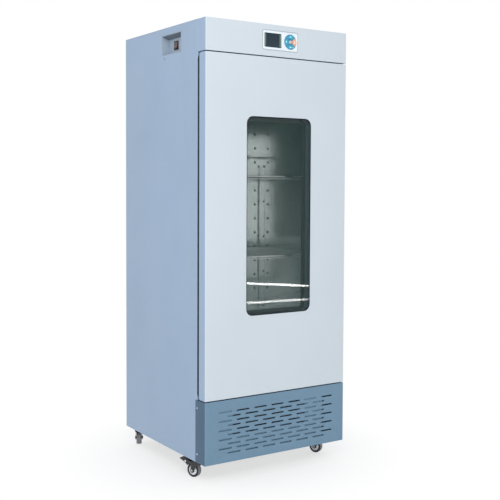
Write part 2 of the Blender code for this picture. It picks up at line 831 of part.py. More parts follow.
def control_bezel():
    """The white frame round the screen and the round keypad."""
    front, behind = FRONT - BEZEL_PROUD, FRONT - BEZEL_PROUD + BEZEL_THICKNESS
    loops = [rectangle(*bezel_box(0), BEZEL_RADIUS), rectangle(*screen_box(SEAT))]
    bezel = sheet_piece("control_bezel", loops, "Y", front, behind, WHITE_PLASTIC)
    x, z = keypad_centre()
    ring = [
        circle(x, z, KEYPAD_RADIUS + KEYPAD_GAP),
        circle(x, z, CENTRE_KEY_RADIUS + CENTRE_WELL_GAP + KEY_RING_WALL),
    ]
    well = sheet_piece("well", ring, "Y", front - SHEET, front + KEY_WELL_DEPTH, None)
    centre = [circle(x, z, CENTRE_KEY_RADIUS + CENTRE_WELL_GAP)]
    middle = sheet_piece("middle", centre, "Y", front - SHEET, front + KEY_WELL_DEPTH, None)
    return cut(bezel, well, middle)


def screen_box(grow):
    """Left, bottom, right and top of the screen, grown all round."""
    x = BEZEL_FROM_CENTRE + SCREEN_FROM_BEZEL
    z = TOP - BEZEL_FROM_TOP
    return (
        x - SCREEN_WIDTH / 2 - grow,
        z - SCREEN_HEIGHT / 2 - grow,
        x + SCREEN_WIDTH / 2 + grow,
        z + SCREEN_HEIGHT / 2 + grow,
    )


def keypad_centre():
    """World x and z of the keypad's centre."""
    return BEZEL_FROM_CENTRE + KEYPAD_FROM_BEZEL, TOP - BEZEL_FROM_TOP


def display_module():
    """The screen in the bezel's window, on its circuit board."""
    front = FRONT - BEZEL_PROUD
    board = front + BEZEL_THICKNESS + SEAT
    low, high = front + SCREEN_SUNK, board + BOARD_THICKNESS / 2
    screen = sheet_piece("display_module", [rectangle(*screen_box(0))], "Y", low, high, SCREEN)
    plate = rectangle(*screen_box(BOARD_MARGIN))
    return join(screen, sheet_piece("board", [plate], "Y", board, board + BOARD_THICKNESS, None))


def key_depths():
    """World y of a key's front and back faces at rest."""
    front = FRONT - BEZEL_PROUD
    return front - KEY_PROUD, front + KEY_WELL_DEPTH - SEAT - KEY_TRAVEL


def ring_key(name, start, end, finish):
    """One sector of the keypad's ring, its straight edges held off its neighbours."""
    x, z = keypad_centre()
    outline = []
    for radius, steps in ((KEY_RING_INNER, 3), (KEYPAD_RADIUS, 6)):
        slack = math.asin(KEY_SPACING / 2 / radius)
        angles = [start + slack + (end - start - 2 * slack) * n / steps for n in range(steps + 1)]
        side = [(x + radius * math.cos(t), z + radius * math.sin(t)) for t in angles]
        outline = side + outline[::-1]
    return sheet_piece(name, [outline], "Y", *key_depths(), finish)


def keys():
    """The four ring keys and the round one in their middle, each pressed along the keypad's axis."""
    right, upper = ORANGE_KEY_HALF, math.radians(135)
    x, z = keypad_centre()
    pad = [
        ring_key("key_right", -right, right, ORANGE_KEY),
        ring_key("key_up", right, upper, TEAL_KEY),
        ring_key("key_left", upper, math.tau - upper, TEAL_KEY),
        ring_key("key_down", math.tau - upper, math.tau - right, TEAL_KEY),
        sheet_piece("key_centre", [circle(x, z, CENTRE_KEY_RADIUS, 16)], "Y", *key_depths(), SILVER_KEY),
    ]
    for key in pad:
        centred(key, (x, key_depths()[0], z))


# Door

def door_body(name, inset, finish):
    """The door's outer form, shrunk: round upright front edges, and round rear corners from the side."""
    half = CABINET_WIDTH / 2
    reach = 2 * DOOR_THICKNESS
    plan = front_rounded(FRONT + inset, FRONT + reach, half - inset, EDGE_RADIUS - inset)
    body = sheet_piece(name, [plan], "Z", DOOR_BOTTOM + inset, DOOR_TOP - inset, finish)
    y, r = DOOR_SKIN_BACK - inset, DOOR_BACK_RADIUS - inset
    z0, z1 = DOOR_BOTTOM + inset, DOOR_TOP - inset
    beyond = FRONT + 2 * reach
    side = arc(y - r, z0 + r, r, 3, 4) + arc(y - r, z1 - r, r, 0, 1)
    side += [(y - r, z1 + DOOR_GAP), (beyond, z1 + DOOR_GAP), (beyond, z0 - DOOR_GAP), (y - r, z0 - DOOR_GAP)]
    return cut(body, sheet_piece("behind", [side], "X", -2 * half, 2 * half, None))


def window_outline(grow):
    """The door window's outline, in x and z, grown or shrunk."""
    x0 = WINDOW_FROM_CENTRE - WINDOW_WIDTH / 2
    return rectangle(
        x0 - grow,
        WINDOW_BOTTOM - grow,
        x0 + WINDOW_WIDTH + grow,
        WINDOW_TOP + grow,
        WINDOW_RADIUS + grow,
    )


def hinge_boss(radius, z0, z1, name, finish):
    """An upright cylinder on the hinge axis."""
    return sheet_piece(name, [circle(HINGE_X, HINGE_Y, radius)], "Z", z0, z1, finish)


def door_skin():
    """The door's outer sheet, with returns at its sides and a boss for each hinge pin."""
    half = CABINET_WIDTH / 2
    skin = door_body("door_skin", 0, WHITE_PAINT)
    opening = block(
        "opening",
        (-half + DOOR_LIP, back(DOOR_THICKNESS / 2), DOOR_BOTTOM + DOOR_LIP),
        (half - DOOR_LIP, back(2 * DOOR_THICKNESS), DOOR_TOP - DOOR_LIP),
        None,
    )
    window = sheet_piece("window", [window_outline(0)], "Y", FRONT - SHEET, FRONT + 2 * SHEET, None)
    cut(skin, door_body("hollow", SHEET, None), opening, window)
    reach = HINGE_PIN_LENGTH + HINGE_PIN_CLEARANCE
    wall = HINGE_PIN_RADIUS + HINGE_PIN_CLEARANCE
    for z0, z1, outside in (
        (DOOR_BOTTOM + SHEET / 2, DOOR_BOTTOM + reach, DOOR_BOTTOM - SHEET),
        (DOOR_TOP - reach, DOOR_TOP - SHEET / 2, DOOR_TOP + SHEET),
    ):
        join(skin, hinge_boss(wall + HINGE_BOSS_WALL, z0, z1, "boss", None))
        bore = (min(z0, outside) - SHEET, max(z1, outside) + SHEET)
        cut(skin, hinge_boss(wall, *bore, "bore", None))
    return skin


def window_seal():
    """The rubber that grips the edge of the skin round the outer pane."""
    front = FRONT + SEAT
    lip = [window_outline(-SEAT), window_outline(-SEAL_BEAD)]
    seal = sheet_piece("window_seal", lip, "Y", front, FRONT + SHEET + 2 * SEAT, RUBBER)
    foot = [window_outline(SEAL_COVER), window_outline(-SEAL_BEAD)]
    behind = FRONT + SHEET + SEAT
    return join(seal, sheet_piece("foot", foot, "Y", behind, behind + SEAL_FLANGE, None))


GLASS_FRONT = FRONT + SHEET + 2 * SEAT + SEAL_FLANGE
GLASS_BACK = GLASS_FRONT + GLASS
INNER_GLASS_BACK = back(DOOR_THICKNESS) - SEAT
INNER_GLASS_FRONT = INNER_GLASS_BACK - GLASS
INNER_FRAME_BACK = INNER_GLASS_FRONT - SEAT
INNER_FRAME_FRONT = INNER_FRAME_BACK - INNER_FRAME_DEPTH


def door_liner():
    """The door's inner sheet, with a tunnel that lines the window between the panes."""
    half = CABINET_WIDTH / 2 - DOOR_LINER_MARGIN
    z0, z1 = DOOR_BOTTOM + DOOR_LINER_MARGIN, DOOR_TOP - DOOR_LINER_MARGIN
    outline = rectangle(-half, z0, half, z1, DOOR_LINER_RADIUS)
    sheet = sheet_piece(
        "door_liner", [outline, window_outline(0)], "Y",
        back(DOOR_THICKNESS - DOOR_LINER_SHEET), back(DOOR_THICKNESS), WHITE_PLASTIC,
    )
    tunnel = [window_outline(JAMB_WALL), window_outline(0)]
    low, high = GLASS_BACK + SEAT, back(DOOR_THICKNESS - DOOR_LINER_SHEET / 2)
    return join(sheet, sheet_piece("jamb", tunnel, "Y", low, high, None))


def door_glass():
    """The outer and inner panes, and the dark frame in front of the inner one."""
    pane = [window_outline(GLASS_COVER)]
    outer = sheet_piece("outer_glass", pane, "Y", GLASS_FRONT, GLASS_BACK, CLEAR_GLASS)
    loops = [window_outline(-SEAT), window_outline(-SEAT - INNER_FRAME_WIDTH)]
    frame = sheet_piece("inner_frame", loops, "Y", INNER_FRAME_FRONT, INNER_FRAME_BACK, BLACK_PLASTIC)
    pane = [window_outline(-SEAT)]
    inner = sheet_piece("inner_glass", pane, "Y", INNER_GLASS_FRONT, INNER_GLASS_BACK, CLEAR_GLASS)
    return outer, frame, inner


def door_gasket():
    """The magnetic rubber seal round the door's inner face."""
    half = CABINET_WIDTH / 2 - GASKET_INSET
    z0, z1 = DOOR_BOTTOM + GASKET_INSET, DOOR_TOP - GASKET_INSET
    w = GASKET_WIDTH
    loops = [
        rectangle(-half, z0, half, z1, GASKET_RADIUS + w),
        rectangle(-half + w, z0 + w, half - w, z1 - w, GASKET_RADIUS),
    ]
    return sheet_piece("door_gasket", loops, "Y", back(DOOR_THICKNESS) + SEAT, BODY_FRONT - SEAT, RUBBER)


def door():
    """The door's pieces, which all turn with the empty on the hinges' axis."""
    hinge = axis_empty("door_hinge_axis", (HINGE_X, HINGE_Y, DOOR_BOTTOM))
    return carried(hinge, door_skin(), window_seal(), door_liner(), *door_glass(), door_gasket())


def hinge_bracket(name, gap_z, door_z, leg_z):
    """A plate in the gap at the door's end, its pin in the door and its leg on the cabinet's front."""
    thick = HINGE_PLATE / 2
    x0, x1 = HINGE_X - HINGE_PLATE_WIDTH / 2, HINGE_X + HINGE_PLATE_WIDTH / 2
    leg_back = BODY_FRONT - SEAT
    r = HINGE_PLATE_WIDTH / 2
    tongue = arc(HINGE_X, HINGE_Y, r, 2, 4, 8) + [(x1, leg_back), (x0, leg_back)]
    bracket = sheet_piece(name, [tongue], "Z", gap_z - thick, gap_z + thick, GALVANISED)
    low, high = sorted((gap_z, leg_z))
    leg = block("leg", (x0, leg_back - HINGE_PLATE, low), (x1, leg_back, high), None)
    low, high = sorted((gap_z, door_z))
    return join(bracket, leg, hinge_boss(HINGE_PIN_RADIUS, low, high, "pin", None))


def hinge_brackets():
    """The top and bottom hinges."""
    reach = HINGE_PIN_LENGTH - SEAT
    gap = DOOR_TOP + DOOR_GAP / 2
    hinge_bracket("hinge_bracket_top", gap, DOOR_TOP - reach, gap + HINGE_LEG)
    gap = DOOR_BOTTOM - DOOR_GAP / 2
    hinge_bracket("hinge_bracket_bottom", gap, DOOR_BOTTOM + reach, gap - HINGE_LEG)


# Chamber

def insulation():
    """The foam body round the chamber, open at the front."""
    foam = block(
        "insulation",
        (-INNER_HALF, FOAM_FRONT, up(GRILLE_HEIGHT + FOAM_ABOVE_GRILLE)),
        (INNER_HALF, SHELL_BACK - SHEET - SEAT, up(CABINET_HEIGHT - HEADER_HEIGHT + FOAM_ABOVE_DOOR)),
        FOAM,
    )
    grow = LINER_SHEET + SEAT
    cavity = block(
        "cavity",
        (-CHAMBER_HALF - grow, FOAM_FRONT - grow, CHAMBER_FLOOR - grow),
        (CHAMBER_HALF + grow, LINER_BACK + grow, CHAMBER_CEILING + grow),
        None,
    )
    return cut(foam, cavity)


def inner_liner():
    """The stainless chamber: a box open at the front."""
    half, grow = CHAMBER_HALF, LINER_SHEET
    liner = block(
        "inner_liner",
        (-half - grow, FOAM_FRONT, CHAMBER_FLOOR - grow),
        (half + grow, LINER_BACK + grow, CHAMBER_CEILING + grow),
        STAINLESS,
    )
    hollow = block(
        "hollow",
        (-half, FOAM_FRONT - grow, CHAMBER_FLOOR),
        (half, LINER_BACK, CHAMBER_CEILING),
        None,
    )
    return cut(liner, hollow)


def shelf_rack(name, side):
    """Two uprights on a side wall of the chamber, with a rail under each shelf's edge."""
    wall = side * (CHAMBER_HALF - SEAT)
    y0, y1 = FOAM_FRONT + RACK_FRONT_GAP, CHAMBER_BACK - RACK_BACK_GAP
    low, high = sorted((wall, wall - side * RACK_UPRIGHT_DEPTH))
    top, bottom = SHELF_LEVELS[0] + RACK_OVERRUN, SHELF_LEVELS[-1] - RACK_OVERRUN
    rack = block(name, (low, y0, bottom), (high, y0 + RACK_UPRIGHT_WIDTH, top), STAINLESS)
    join(rack, block("upright", (low, y1 - RACK_UPRIGHT_WIDTH, bottom), (high, y1, top), None))
    inner = wall - side * (RACK_UPRIGHT_DEPTH + RAIL_WIDTH)
    overlap = wall - side * RACK_UPRIGHT_DEPTH / 2
    for level in SHELF_LEVELS:
        rest = level - SHELF_RIM_RADIUS - SEAT
        path = [(overlap, rest - RAIL_SHEET), (inner, rest - RAIL_SHEET), (inner, rest - RAIL_HEIGHT)]
        if side > 0:
            path.reverse()
        rail = sheet_piece("rail", [folded(path, RAIL_SHEET)], "Y", y0 + RAIL_INSET, y1 - RAIL_INSET, None)
        join(rack, rail)
    return rack


def duct_panel():
    """The chamber's rear wall, in front of the air duct, with its holes and vents."""
    half = CHAMBER_HALF - SEAT
    loops = [rectangle(-half, CHAMBER_FLOOR + SEAT, half, CHAMBER_CEILING - SEAT)]
    column = CHAMBER_HALF - HOLE_COLUMN_FROM_WALL
    lowest = CHAMBER_FLOOR + HOLE_ABOVE_FLOOR
    for n in range(int((CHAMBER_CEILING - HOLE_BELOW_CEILING - lowest) / HOLE_PITCH) + 1):
        for x in (-column, column):
            loops.append(circle(x, lowest + n * HOLE_PITCH, HOLE_RADIUS, 6))
    middle = (VENT_SLOT_INNER + VENT_SLOT_OUTER) / 2
    ray = slot(middle, 0, VENT_SLOT_OUTER - VENT_SLOT_INNER, VENT_SLOT_WIDTH)
    for n in range(VENT_SLOTS):
        angle = math.tau * n / VENT_SLOTS
        c, s = math.cos(angle), math.sin(angle)
        loops.append([(a * c - b * s, FAN_Z + a * s + b * c) for a, b in ray])
    for n in range(RETURN_SLOTS):
        x = (n - (RETURN_SLOTS - 1) / 2) * RETURN_SLOT_PITCH
        loops.append(slot(x, CHAMBER_FLOOR + RETURN_SLOT_RISE, RETURN_SLOT_LENGTH, VENT_SLOT_WIDTH))
    return sheet_piece("duct_panel", loops, "Y", CHAMBER_BACK, CHAMBER_BACK + DUCT_SHEET, STAINLESS)


def breaker_frame():
    """The flat frame between the cabinet's edge and the chamber's mouth."""
    half = CABINET_WIDTH / 2 - FLANGE_FRONT - SEAT
    outer = rectangle(-half, up(GRILLE_HEIGHT) + SEAT, half, TOP - HEADER_HEIGHT)
    mouth = rectangle(-CHAMBER_HALF, CHAMBER_FLOOR, CHAMBER_HALF, CHAMBER_CEILING, MOUTH_RADIUS)
    low, high = BODY_FRONT, BODY_FRONT + BREAKER_THICKNESS
    return sheet_piece("breaker_frame", [outer, mouth], "Y", low, high, BLUE_PAINT)


def shelf(name, level):
    """A wire shelf: a round rim, bars across it, wires from front to back and a truss at the front."""
    half = CHAMBER_HALF - SEAT - RACK_UPRIGHT_DEPTH - SHELF_RACK_GAP - SHELF_RIM_RADIUS
    y0, y1 = back(SHELF_FRONT), CHAMBER_BACK - SHELF_BACK_GAP
    rim_points = [(x, y, level) for x, y in rectangle(-half, y0, half, y1, SHELF_CORNER, 2)]
    rim = tube(name, rim_points, SHELF_RIM_RADIUS, CHROME, closed=True, resolution=1)
    bars = []
    for n in range(SHELF_BARS):
        y = y0 + (y1 - y0) * (n + 1) / (SHELF_BARS + 1)
        height = level - SHELF_RIM_RADIUS + SHELF_BAR_RADIUS
        ends = [(-half, y, height), (half, y, height)]
        bars.append(tube("bar", ends, SHELF_BAR_RADIUS, None, resolution=0))
    wires = []
    for n in range(SHELF_WIRES):
        x = -half + 2 * half * (n + 1) / (SHELF_WIRES + 1)
        height = level + SHELF_WIRE_RADIUS
        wires.append(tube("wire", [(x, y0, height), (x, y1, height)], SHELF_WIRE_RADIUS, None, resolution=0))
    inset, drop = half - TRUSS_INSET, level - SHELF_TRUSS_DROP
    path = [(-inset, y0, level), (-inset, y0, drop), (inset, y0, drop), (inset, y0, level)]
    truss = tube("truss", path, SHELF_BAR_RADIUS, None, resolution=1)
    join(rim, merged("bars", bars, None), merged("wires", wires, None), truss)
    return centred(rim, (0, y0, level))


def sensor_probe():
    """The temperature probe that stands out from the right wall, with a ring at its tip."""
    x = CHAMBER_HALF - SEAT
    y, z = CHAMBER_BACK - PROBE_FROM_BACK, SHELF_LEVELS[0] + PROBE_ABOVE_SHELF
    tip = x - PROBE_COLLAR - PROBE_LENGTH
    turn = Matrix.Translation((x, y, z)) @ Matrix.Rotation(-math.pi / 2, 4, "Y")
    collar = [(PROBE_COLLAR_RADIUS, 0), (PROBE_COLLAR_RADIUS, PROBE_COLLAR)]
    probe = turned("sensor_probe", collar, turn, STAINLESS, 12)
    rod = tube("rod", [(x - PROBE_COLLAR / 2, y, z), (tip, y, z)], PROBE_RADIUS, None, resolution=1)
    centre = tip - PROBE_RING_RADIUS
    ring = [(centre + a, y, z + b) for a, b in circle(0, 0, PROBE_RING_RADIUS, 12)]
    return join(probe, rod, tube("ring", ring, PROBE_RING_WIRE, None, closed=True, resolution=1))


# Air circulation

def fan_rotor(name, centre, radius, hub_radius, depth, blades, finish):
    """A hub with twisted blades, its axis along Y."""
    x, y, z = centre
    hub = sheet_piece(name, [circle(x, z, hub_radius)], "Y", y, y + depth, finish)
    for n in range(blades):
        mesh = bpy.data.meshes.new("blade")
        work = bmesh.new()
        bmesh.ops.create_cube(work, size=1.0)
        for corner in work.verts:
            outer = corner.co.x > 0
            reach = radius if outer else hub_radius * 0.8
            pitch = math.radians(24 if outer else 40)
            chord = depth * (1.5 if outer else 0.9)
            along, thick = corner.co.y * chord, corner.co.z * depth * 0.12
            corner.co = (
                reach,
                along * math.sin(pitch) + thick * math.cos(pitch),
                along * math.cos(pitch) - thick * math.sin(pitch),
            )
        work.to_mesh(mesh)
        work.free()
        turn = Matrix.Rotation(math.tau * n / blades, 4, "Y")
        join(hub, add("blade", mesh, None, Matrix.Translation((x, y + depth / 2, z)) @ turn))
    return centred(hub, (x, y, z))


def circulation_fan():
    """The motor on the chamber's rear sheet, and the rotor in front of it."""
    y = CHAMBER_BACK + DUCT_SHEET + FAN_FROM_DUCT
    centre = (0, y, FAN_Z)
    fan_rotor("circulation_fan_rotor", centre, FAN_RADIUS, FAN_HUB_RADIUS, FAN_HUB_DEPTH, FAN_BLADES,
              GREY_PLASTIC)
    front = y + FAN_HUB_DEPTH + SEAT
    place = Matrix.Translation((0, front, FAN_Z)) @ Matrix.Rotation(-math.pi / 2, 4, "X")
    length = LINER_BACK - SEAT - front
    nose, body, foot = FAN_HUB_RADIUS * 0.6, FAN_MOTOR_RADIUS, FAN_MOTOR_RADIUS * 1.5
    profile = [
        (nose, 0),
        (nose, length * 0.15),
        (body, length * 0.25),
        (body, length * 0.85),
        (foot, length * 0.9),
        (foot, length),
    ]
    turned("circulation_fan_motor", profile, place, GALVANISED)


def coils():
    """The evaporator on the rear sheet and the heating element behind the duct panel."""
    y = LINER_BACK - SEAT - COIL_RADIUS
    half = CHAMBER_HALF - COIL_SIDE_GAP - COIL_RADIUS - COIL_PITCH / 2
    points = serpentine(half, up(COIL_BOTTOM), COIL_PITCH, COIL_RUNS, y)
    tube("evaporator_coil", points, COIL_RADIUS, COPPER, resolution=1)
    y = CHAMBER_BACK + DUCT_SHEET + SEAT + HEATER_RADIUS
    half = CHAMBER_HALF - HEATER_SIDE_GAP - HEATER_RADIUS - HEATER_PITCH / 2
    points = serpentine(half, up(HEATER_BOTTOM), HEATER_PITCH, HEATER_RUNS, y)
    tube("heating_element", points, HEATER_RADIUS, STAINLESS, resolution=1)


# Refrigeration compartment

def condenser():
    """Upright fins on a common spine."""
    x0, y0 = across(CONDENSER_FROM_LEFT), back(CONDENSER_FRONT)
    y1 = y0 + CONDENSER_DEPTH
    pitch = (CONDENSER_WIDTH - CONDENSER_FIN) / (CONDENSER_FINS - 1)
    outline = [(x0 + CONDENSER_WIDTH, y1), (x0, y1)]
    for n in range(CONDENSER_FINS):
        x = x0 + n * pitch
        spine = y1 - CONDENSER_SPINE
        tooth = [(x, spine), (x, y0), (x + CONDENSER_FIN, y0), (x + CONDENSER_FIN, spine)]
        if n == 0:
            tooth = tooth[1:]
        if n == CONDENSER_FINS - 1:
            tooth = tooth[:-1]
        outline += tooth
    z = PAN_TOP + SEAT
    return sheet_piece("condenser", [outline], "Z", z, z + CONDENSER_HEIGHT, ALUMINIUM)


def cooling_fan():
    """The shroud behind the condenser, with its motor on struts, and the rotor inside it."""
    x = across(CONDENSER_FROM_LEFT + CONDENSER_WIDTH / 2)
    z = PAN_TOP + SEAT + SHROUD_SIZE / 2
    y0 = back(CONDENSER_FRONT) + CONDENSER_DEPTH + SHROUD_GAP
    y1 = y0 + SHROUD_DEPTH
    half = SHROUD_SIZE / 2
    loops = [rectangle(x - half, z - half, x + half, z + half, EDGE_RADIUS), circle(x, z, SHROUD_BORE)]
    shroud = sheet_piece("cooling_fan_shroud", loops, "Y", y0, y1, BLACK_PLASTIC)
    motor_front = y1 - STRUT_DEPTH
    reach = (SHROUD_BORE + half) / 2
    for w, h in ((reach, STRUT_WIDTH / 2), (STRUT_WIDTH / 2, reach)):
        join(shroud, block("strut", (x - w, motor_front, z - h), (x + w, y1, z + h), None))
    motor = circle(x, z, COOLING_MOTOR_RADIUS)
    join(shroud, sheet_piece("motor", [motor], "Y", motor_front, motor_front + COOLING_MOTOR_LENGTH, None))
    depth = motor_front - y0 - 2 * SEAT
    hub = depth * 0.75
    centre = (x, motor_front - SEAT - hub, z)
    fan_rotor("cooling_fan_rotor", centre, COOLING_FAN_RADIUS, COOLING_FAN_HUB_RADIUS, hub,
              COOLING_FAN_BLADES, GREY_PLASTIC)


def compressor():
    """A sealed compressor can on its foot plate and rubber feet."""
    x, y = across(COMPRESSOR_FROM_LEFT), back(COMPRESSOR_FROM_FRONT)
    foot_z = PAN_TOP + SEAT + GROMMET_HEIGHT
    r, h = COMPRESSOR_RADIUS, COMPRESSOR_HEIGHT
    seam = r * 1.03
    profile = [
        (r * 0.75, 0),
        (r, h * 0.12),
        (r, h * 0.5),
        (seam, h * 0.5),
        (seam, h * 0.54),
        (r, h * 0.54),
        (r, h * 0.8),
        (r * 0.88, h * 0.92),
        (r * 0.55, h * 0.99),
        (0, h),
    ]
    can = turned("compressor", profile, Matrix.Translation((x, y, foot_z)), BLACK_STEEL, 20)
    w, d = COMPRESSOR_FOOT[0] / 2, COMPRESSOR_FOOT[1] / 2
    foot = rectangle(x - w, y - d, x + w, y + d, GROMMET_RADIUS)
    thick, g = COMPRESSOR_PLATE / 2, GROMMET_RADIUS
    join(can, sheet_piece("foot", [foot], "Z", foot_z - thick, foot_z + thick, None))
    corners = [(x + side * (w - g), y + end * (d - g)) for side in (-1, 1) for end in (-1, 1)]
    feet = [
        sheet_piece("grommet", [circle(*corner, g * 0.9, 12)], "Z", PAN_TOP + SEAT, foot_z, None)
        for corner in corners
    ]
    return join(can, merged("feet", feet, None))


def inlet_outline(grow):
    """The mains inlet's outline, in x and z, grown all round."""
    x, z = across(INLET_FROM_LEFT), up(INLET_HEIGHT)
    w, h = INLET_WIDTH / 2 + grow, INLET_RISE / 2 + grow
    return rectangle(x - w, z - h, x + w, z + h)


def power_inlet():
    """A socket in the back panel for the mains cord, flanged behind the panel."""
    y = BACK - SHEET - SEAT
    inlet = sheet_piece("power_inlet", [inlet_outline(0)], "Y", BACK - INLET_DEPTH, BACK, BLACK_PLASTIC)
    flange = sheet_piece("flange", [inlet_outline(INLET_FLANGE)], "Y", y - INLET_WALL, y, None)
    low, high = BACK - INLET_DEPTH + INLET_WALL, BACK + SHEET
    recess = sheet_piece("recess", [inlet_outline(-INLET_WALL)], "Y", low, high, None)
    return cut(join(inlet, flange), recess)


# Power switch

POCKET_FLOOR = LEFT + POCKET_DEPTH
SWITCH_Y = back(SWITCH_FROM_FRONT)
SWITCH_Z = TOP - POCKET_BELOW_TOP - POCKET_RISE + SWITCH_ABOVE_POCKET


def drafted(name, grow, x0, x1, finish):
    """A box as long and high as the recess, grown, whose walls and ceiling lean in towards x1."""
    (y0, z0), _, (y1, z1), _ = pocket_hole(grow)
    made = block(name, (x0, y0, z0), (x1, y1, z1), finish)
    for corner in made.data.vertices:
        if corner.co.x > 0:
            corner.co.y -= math.copysign(POCKET_DRAFT, corner.co.y)
            corner.co.z -= POCKET_CEILING_DRAFT if corner.co.z > 0 else -POCKET_DRAFT
    return made


def switch_outline(grow):
    """The power switch's outline, in y and z, grown or shrunk."""
    w, h = SWITCH_WIDTH / 2 + grow, SWITCH_RISE / 2 + grow
    return rectangle(SWITCH_Y - w, SWITCH_Z - h, SWITCH_Y + w, SWITCH_Z + h)


def switch_pocket():
    """The moulded recess in the left side, with the switch's opening in its floor."""
    pocket = drafted("switch_pocket", -SEAT, LEFT, POCKET_FLOOR + POCKET_WALL, BLUE_PAINT)
    low = LEFT + SHEET + SEAT
    flange = sheet_piece("flange", [pocket_hole(POCKET_FLANGE)], "X", low, low + POCKET_WALL, None)
    hollow = drafted("hollow", -SEAT - POCKET_WALL, LEFT - POCKET_WALL, POCKET_FLOOR, None)
    hole = [switch_outline(SEAT - SWITCH_BODY_INSET)]
    low, high = POCKET_FLOOR - POCKET_WALL, POCKET_FLOOR + 2 * POCKET_WALL
    opening = sheet_piece("opening", hole, "X", low, high, None)
    return cut(join(pocket, flange), hollow, opening)


def switch_frame():
    """The switch's rim and body, hollow for the rocker."""
    face = POCKET_FLOOR - SEAT
    deep = face + SWITCH_BODY_DEPTH
    rim = sheet_piece("switch_frame", [switch_outline(0)], "X", face - SWITCH_RIM, face, BLACK_PLASTIC)
    body = sheet_piece("body", [switch_outline(-SWITCH_BODY_INSET)], "X", face - SWITCH_RIM / 2, deep, None)
    low, high = face - 2 * SWITCH_RIM, deep - SWITCH_BODY_FLOOR
    well = sheet_piece("well", [switch_outline(-SWITCH_RIM_WIDTH)], "X", low, high, None)
    return cut(join(rim, body), well)


def power_rocker():
    """The rocker, tilted about its pin, with a round back that turns inside the frame."""
    half = SWITCH_RISE / 2 - SWITCH_RIM_WIDTH - 2 * ROCKER_GAP
    width = SWITCH_WIDTH / 2 - SWITCH_RIM_WIDTH - ROCKER_GAP
    outline = [(-ROCKER_RISE, half - ROCKER_GAP), (-ROCKER_RISE * 0.3, 0), (-ROCKER_RISE, -half + ROCKER_GAP)]
    outline += [(half * math.sin(t), -half * math.cos(t)) for t in (math.pi * n / 8 for n in range(9))]
    face = POCKET_FLOOR - SEAT - SWITCH_RIM
    place = Matrix.Translation((face, SWITCH_Y, SWITCH_Z)) @ Matrix.Rotation(ROCKER_TILT, 4, "Y")
    return sheet_piece("power_rocker", [outline], "Y", -width, width, RED_PLASTIC, place)


# Casters

FORK_TOP = 2 * WHEEL_RADIUS + FORK_TOP_GAP + FORK_SHEET
RACE_TOP = CASTER_HEIGHT - SEAT - PLATE_THICKNESS


def caster_plate(name, place):
    """The mounting plate under the base pan, with its fixed race."""
    x, y = place.translation.x, place.translation.y
    w, h = PLATE_WIDTH / 2, PLATE_LENGTH / 2
    outline = rectangle(x - w, y - h, x + w, y + h, PLATE_RADIUS, 2)
    plate = sheet_piece(name, [outline], "Z", RACE_TOP, CASTER_HEIGHT - SEAT, BLACK_STEEL)
    low, high = (RACE_TOP + FORK_TOP) / 2, RACE_TOP + PLATE_THICKNESS / 2
    return join(plate, sheet_piece("race", [circle(x, y, RACE_RADIUS, 12)], "Z", low, high, None))


def fork_outline():
    """A fork leg's side view: wide under the race, round about the axle."""
    half = FORK_TOP_LENGTH / 2
    eye = FORK_EYE_RADIUS
    x, z = WHEEL_TRAIL, WHEEL_RADIUS
    top = [(half, FORK_TOP), (-half, FORK_TOP)]
    return top + arc(x, z, eye, 1.8, 4.3, 5)


def pedal_pivot():
    """The brake pedal's pin, in the caster's x and z."""
    return PEDAL_PIVOT_REACH, FORK_TOP - PEDAL_PIVOT_DROP


def caster_fork(name, place, braked):
    """The swivelling fork: two legs, its bridge with the moving race, and the axle.

    A braked fork also has two ears that hold the pedal's pin.
    """
    gap = WHEEL_WIDTH / 2 + FORK_SIDE_GAP
    half = FORK_TOP_LENGTH / 2
    reach = gap + FORK_SHEET
    bridge_low = FORK_TOP - FORK_SHEET
    fork = block(name, (-half, -reach, bridge_low), (half, reach, FORK_TOP), BLACK_STEEL)
    legs = [
        sheet_piece("leg", [fork_outline()], "Y", low, low + FORK_SHEET, None) for low in (-reach, gap)
    ]
    race_top = (RACE_TOP + FORK_TOP) / 2 - SEAT
    race = sheet_piece("race", [circle(0, 0, RACE_RADIUS, 12)], "Z", bridge_low, race_top, None)
    ends = reach + AXLE_HEAD
    axle = sheet_piece("axle", [circle(WHEEL_TRAIL, WHEEL_RADIUS, AXLE_RADIUS, 12)], "Y", -ends, ends, None)
    hexagon = [circle(WHEEL_TRAIL, WHEEL_RADIUS, AXLE_HEAD_RADIUS, 6)]
    heads = [
        sheet_piece("head", hexagon, "Y", low, low + AXLE_HEAD, None)
        for low in (-reach - AXLE_HEAD + SEAT, reach - SEAT)
    ]
    join(fork, merged("legs", legs, None))
    if braked:
        pivot = pedal_pivot()
        root = (half - PEDAL_EYE_RADIUS, bridge_low - PEDAL_EYE_RADIUS)
        ear = link(root, pivot, PEDAL_EYE_RADIUS, PEDAL_EYE_RADIUS, 4)
        inset = (FORK_SHEET - EAR_SHEET) / 2
        sides = (-reach + inset, gap + inset)
        ears = [sheet_piece("ear", [ear], "Y", low, low + EAR_SHEET, None) for low in sides]
        join(fork, merged("ears", ears, None))
        loop = circle(*pivot, PEDAL_PIN_RADIUS, 8)
        join(fork, sheet_piece("pin", [loop], "Y", -reach - SEAT, reach + SEAT, None))
    join(fork, race, axle, merged("heads", heads, None))
    fork.matrix_world = place @ fork.matrix_world
    return fork


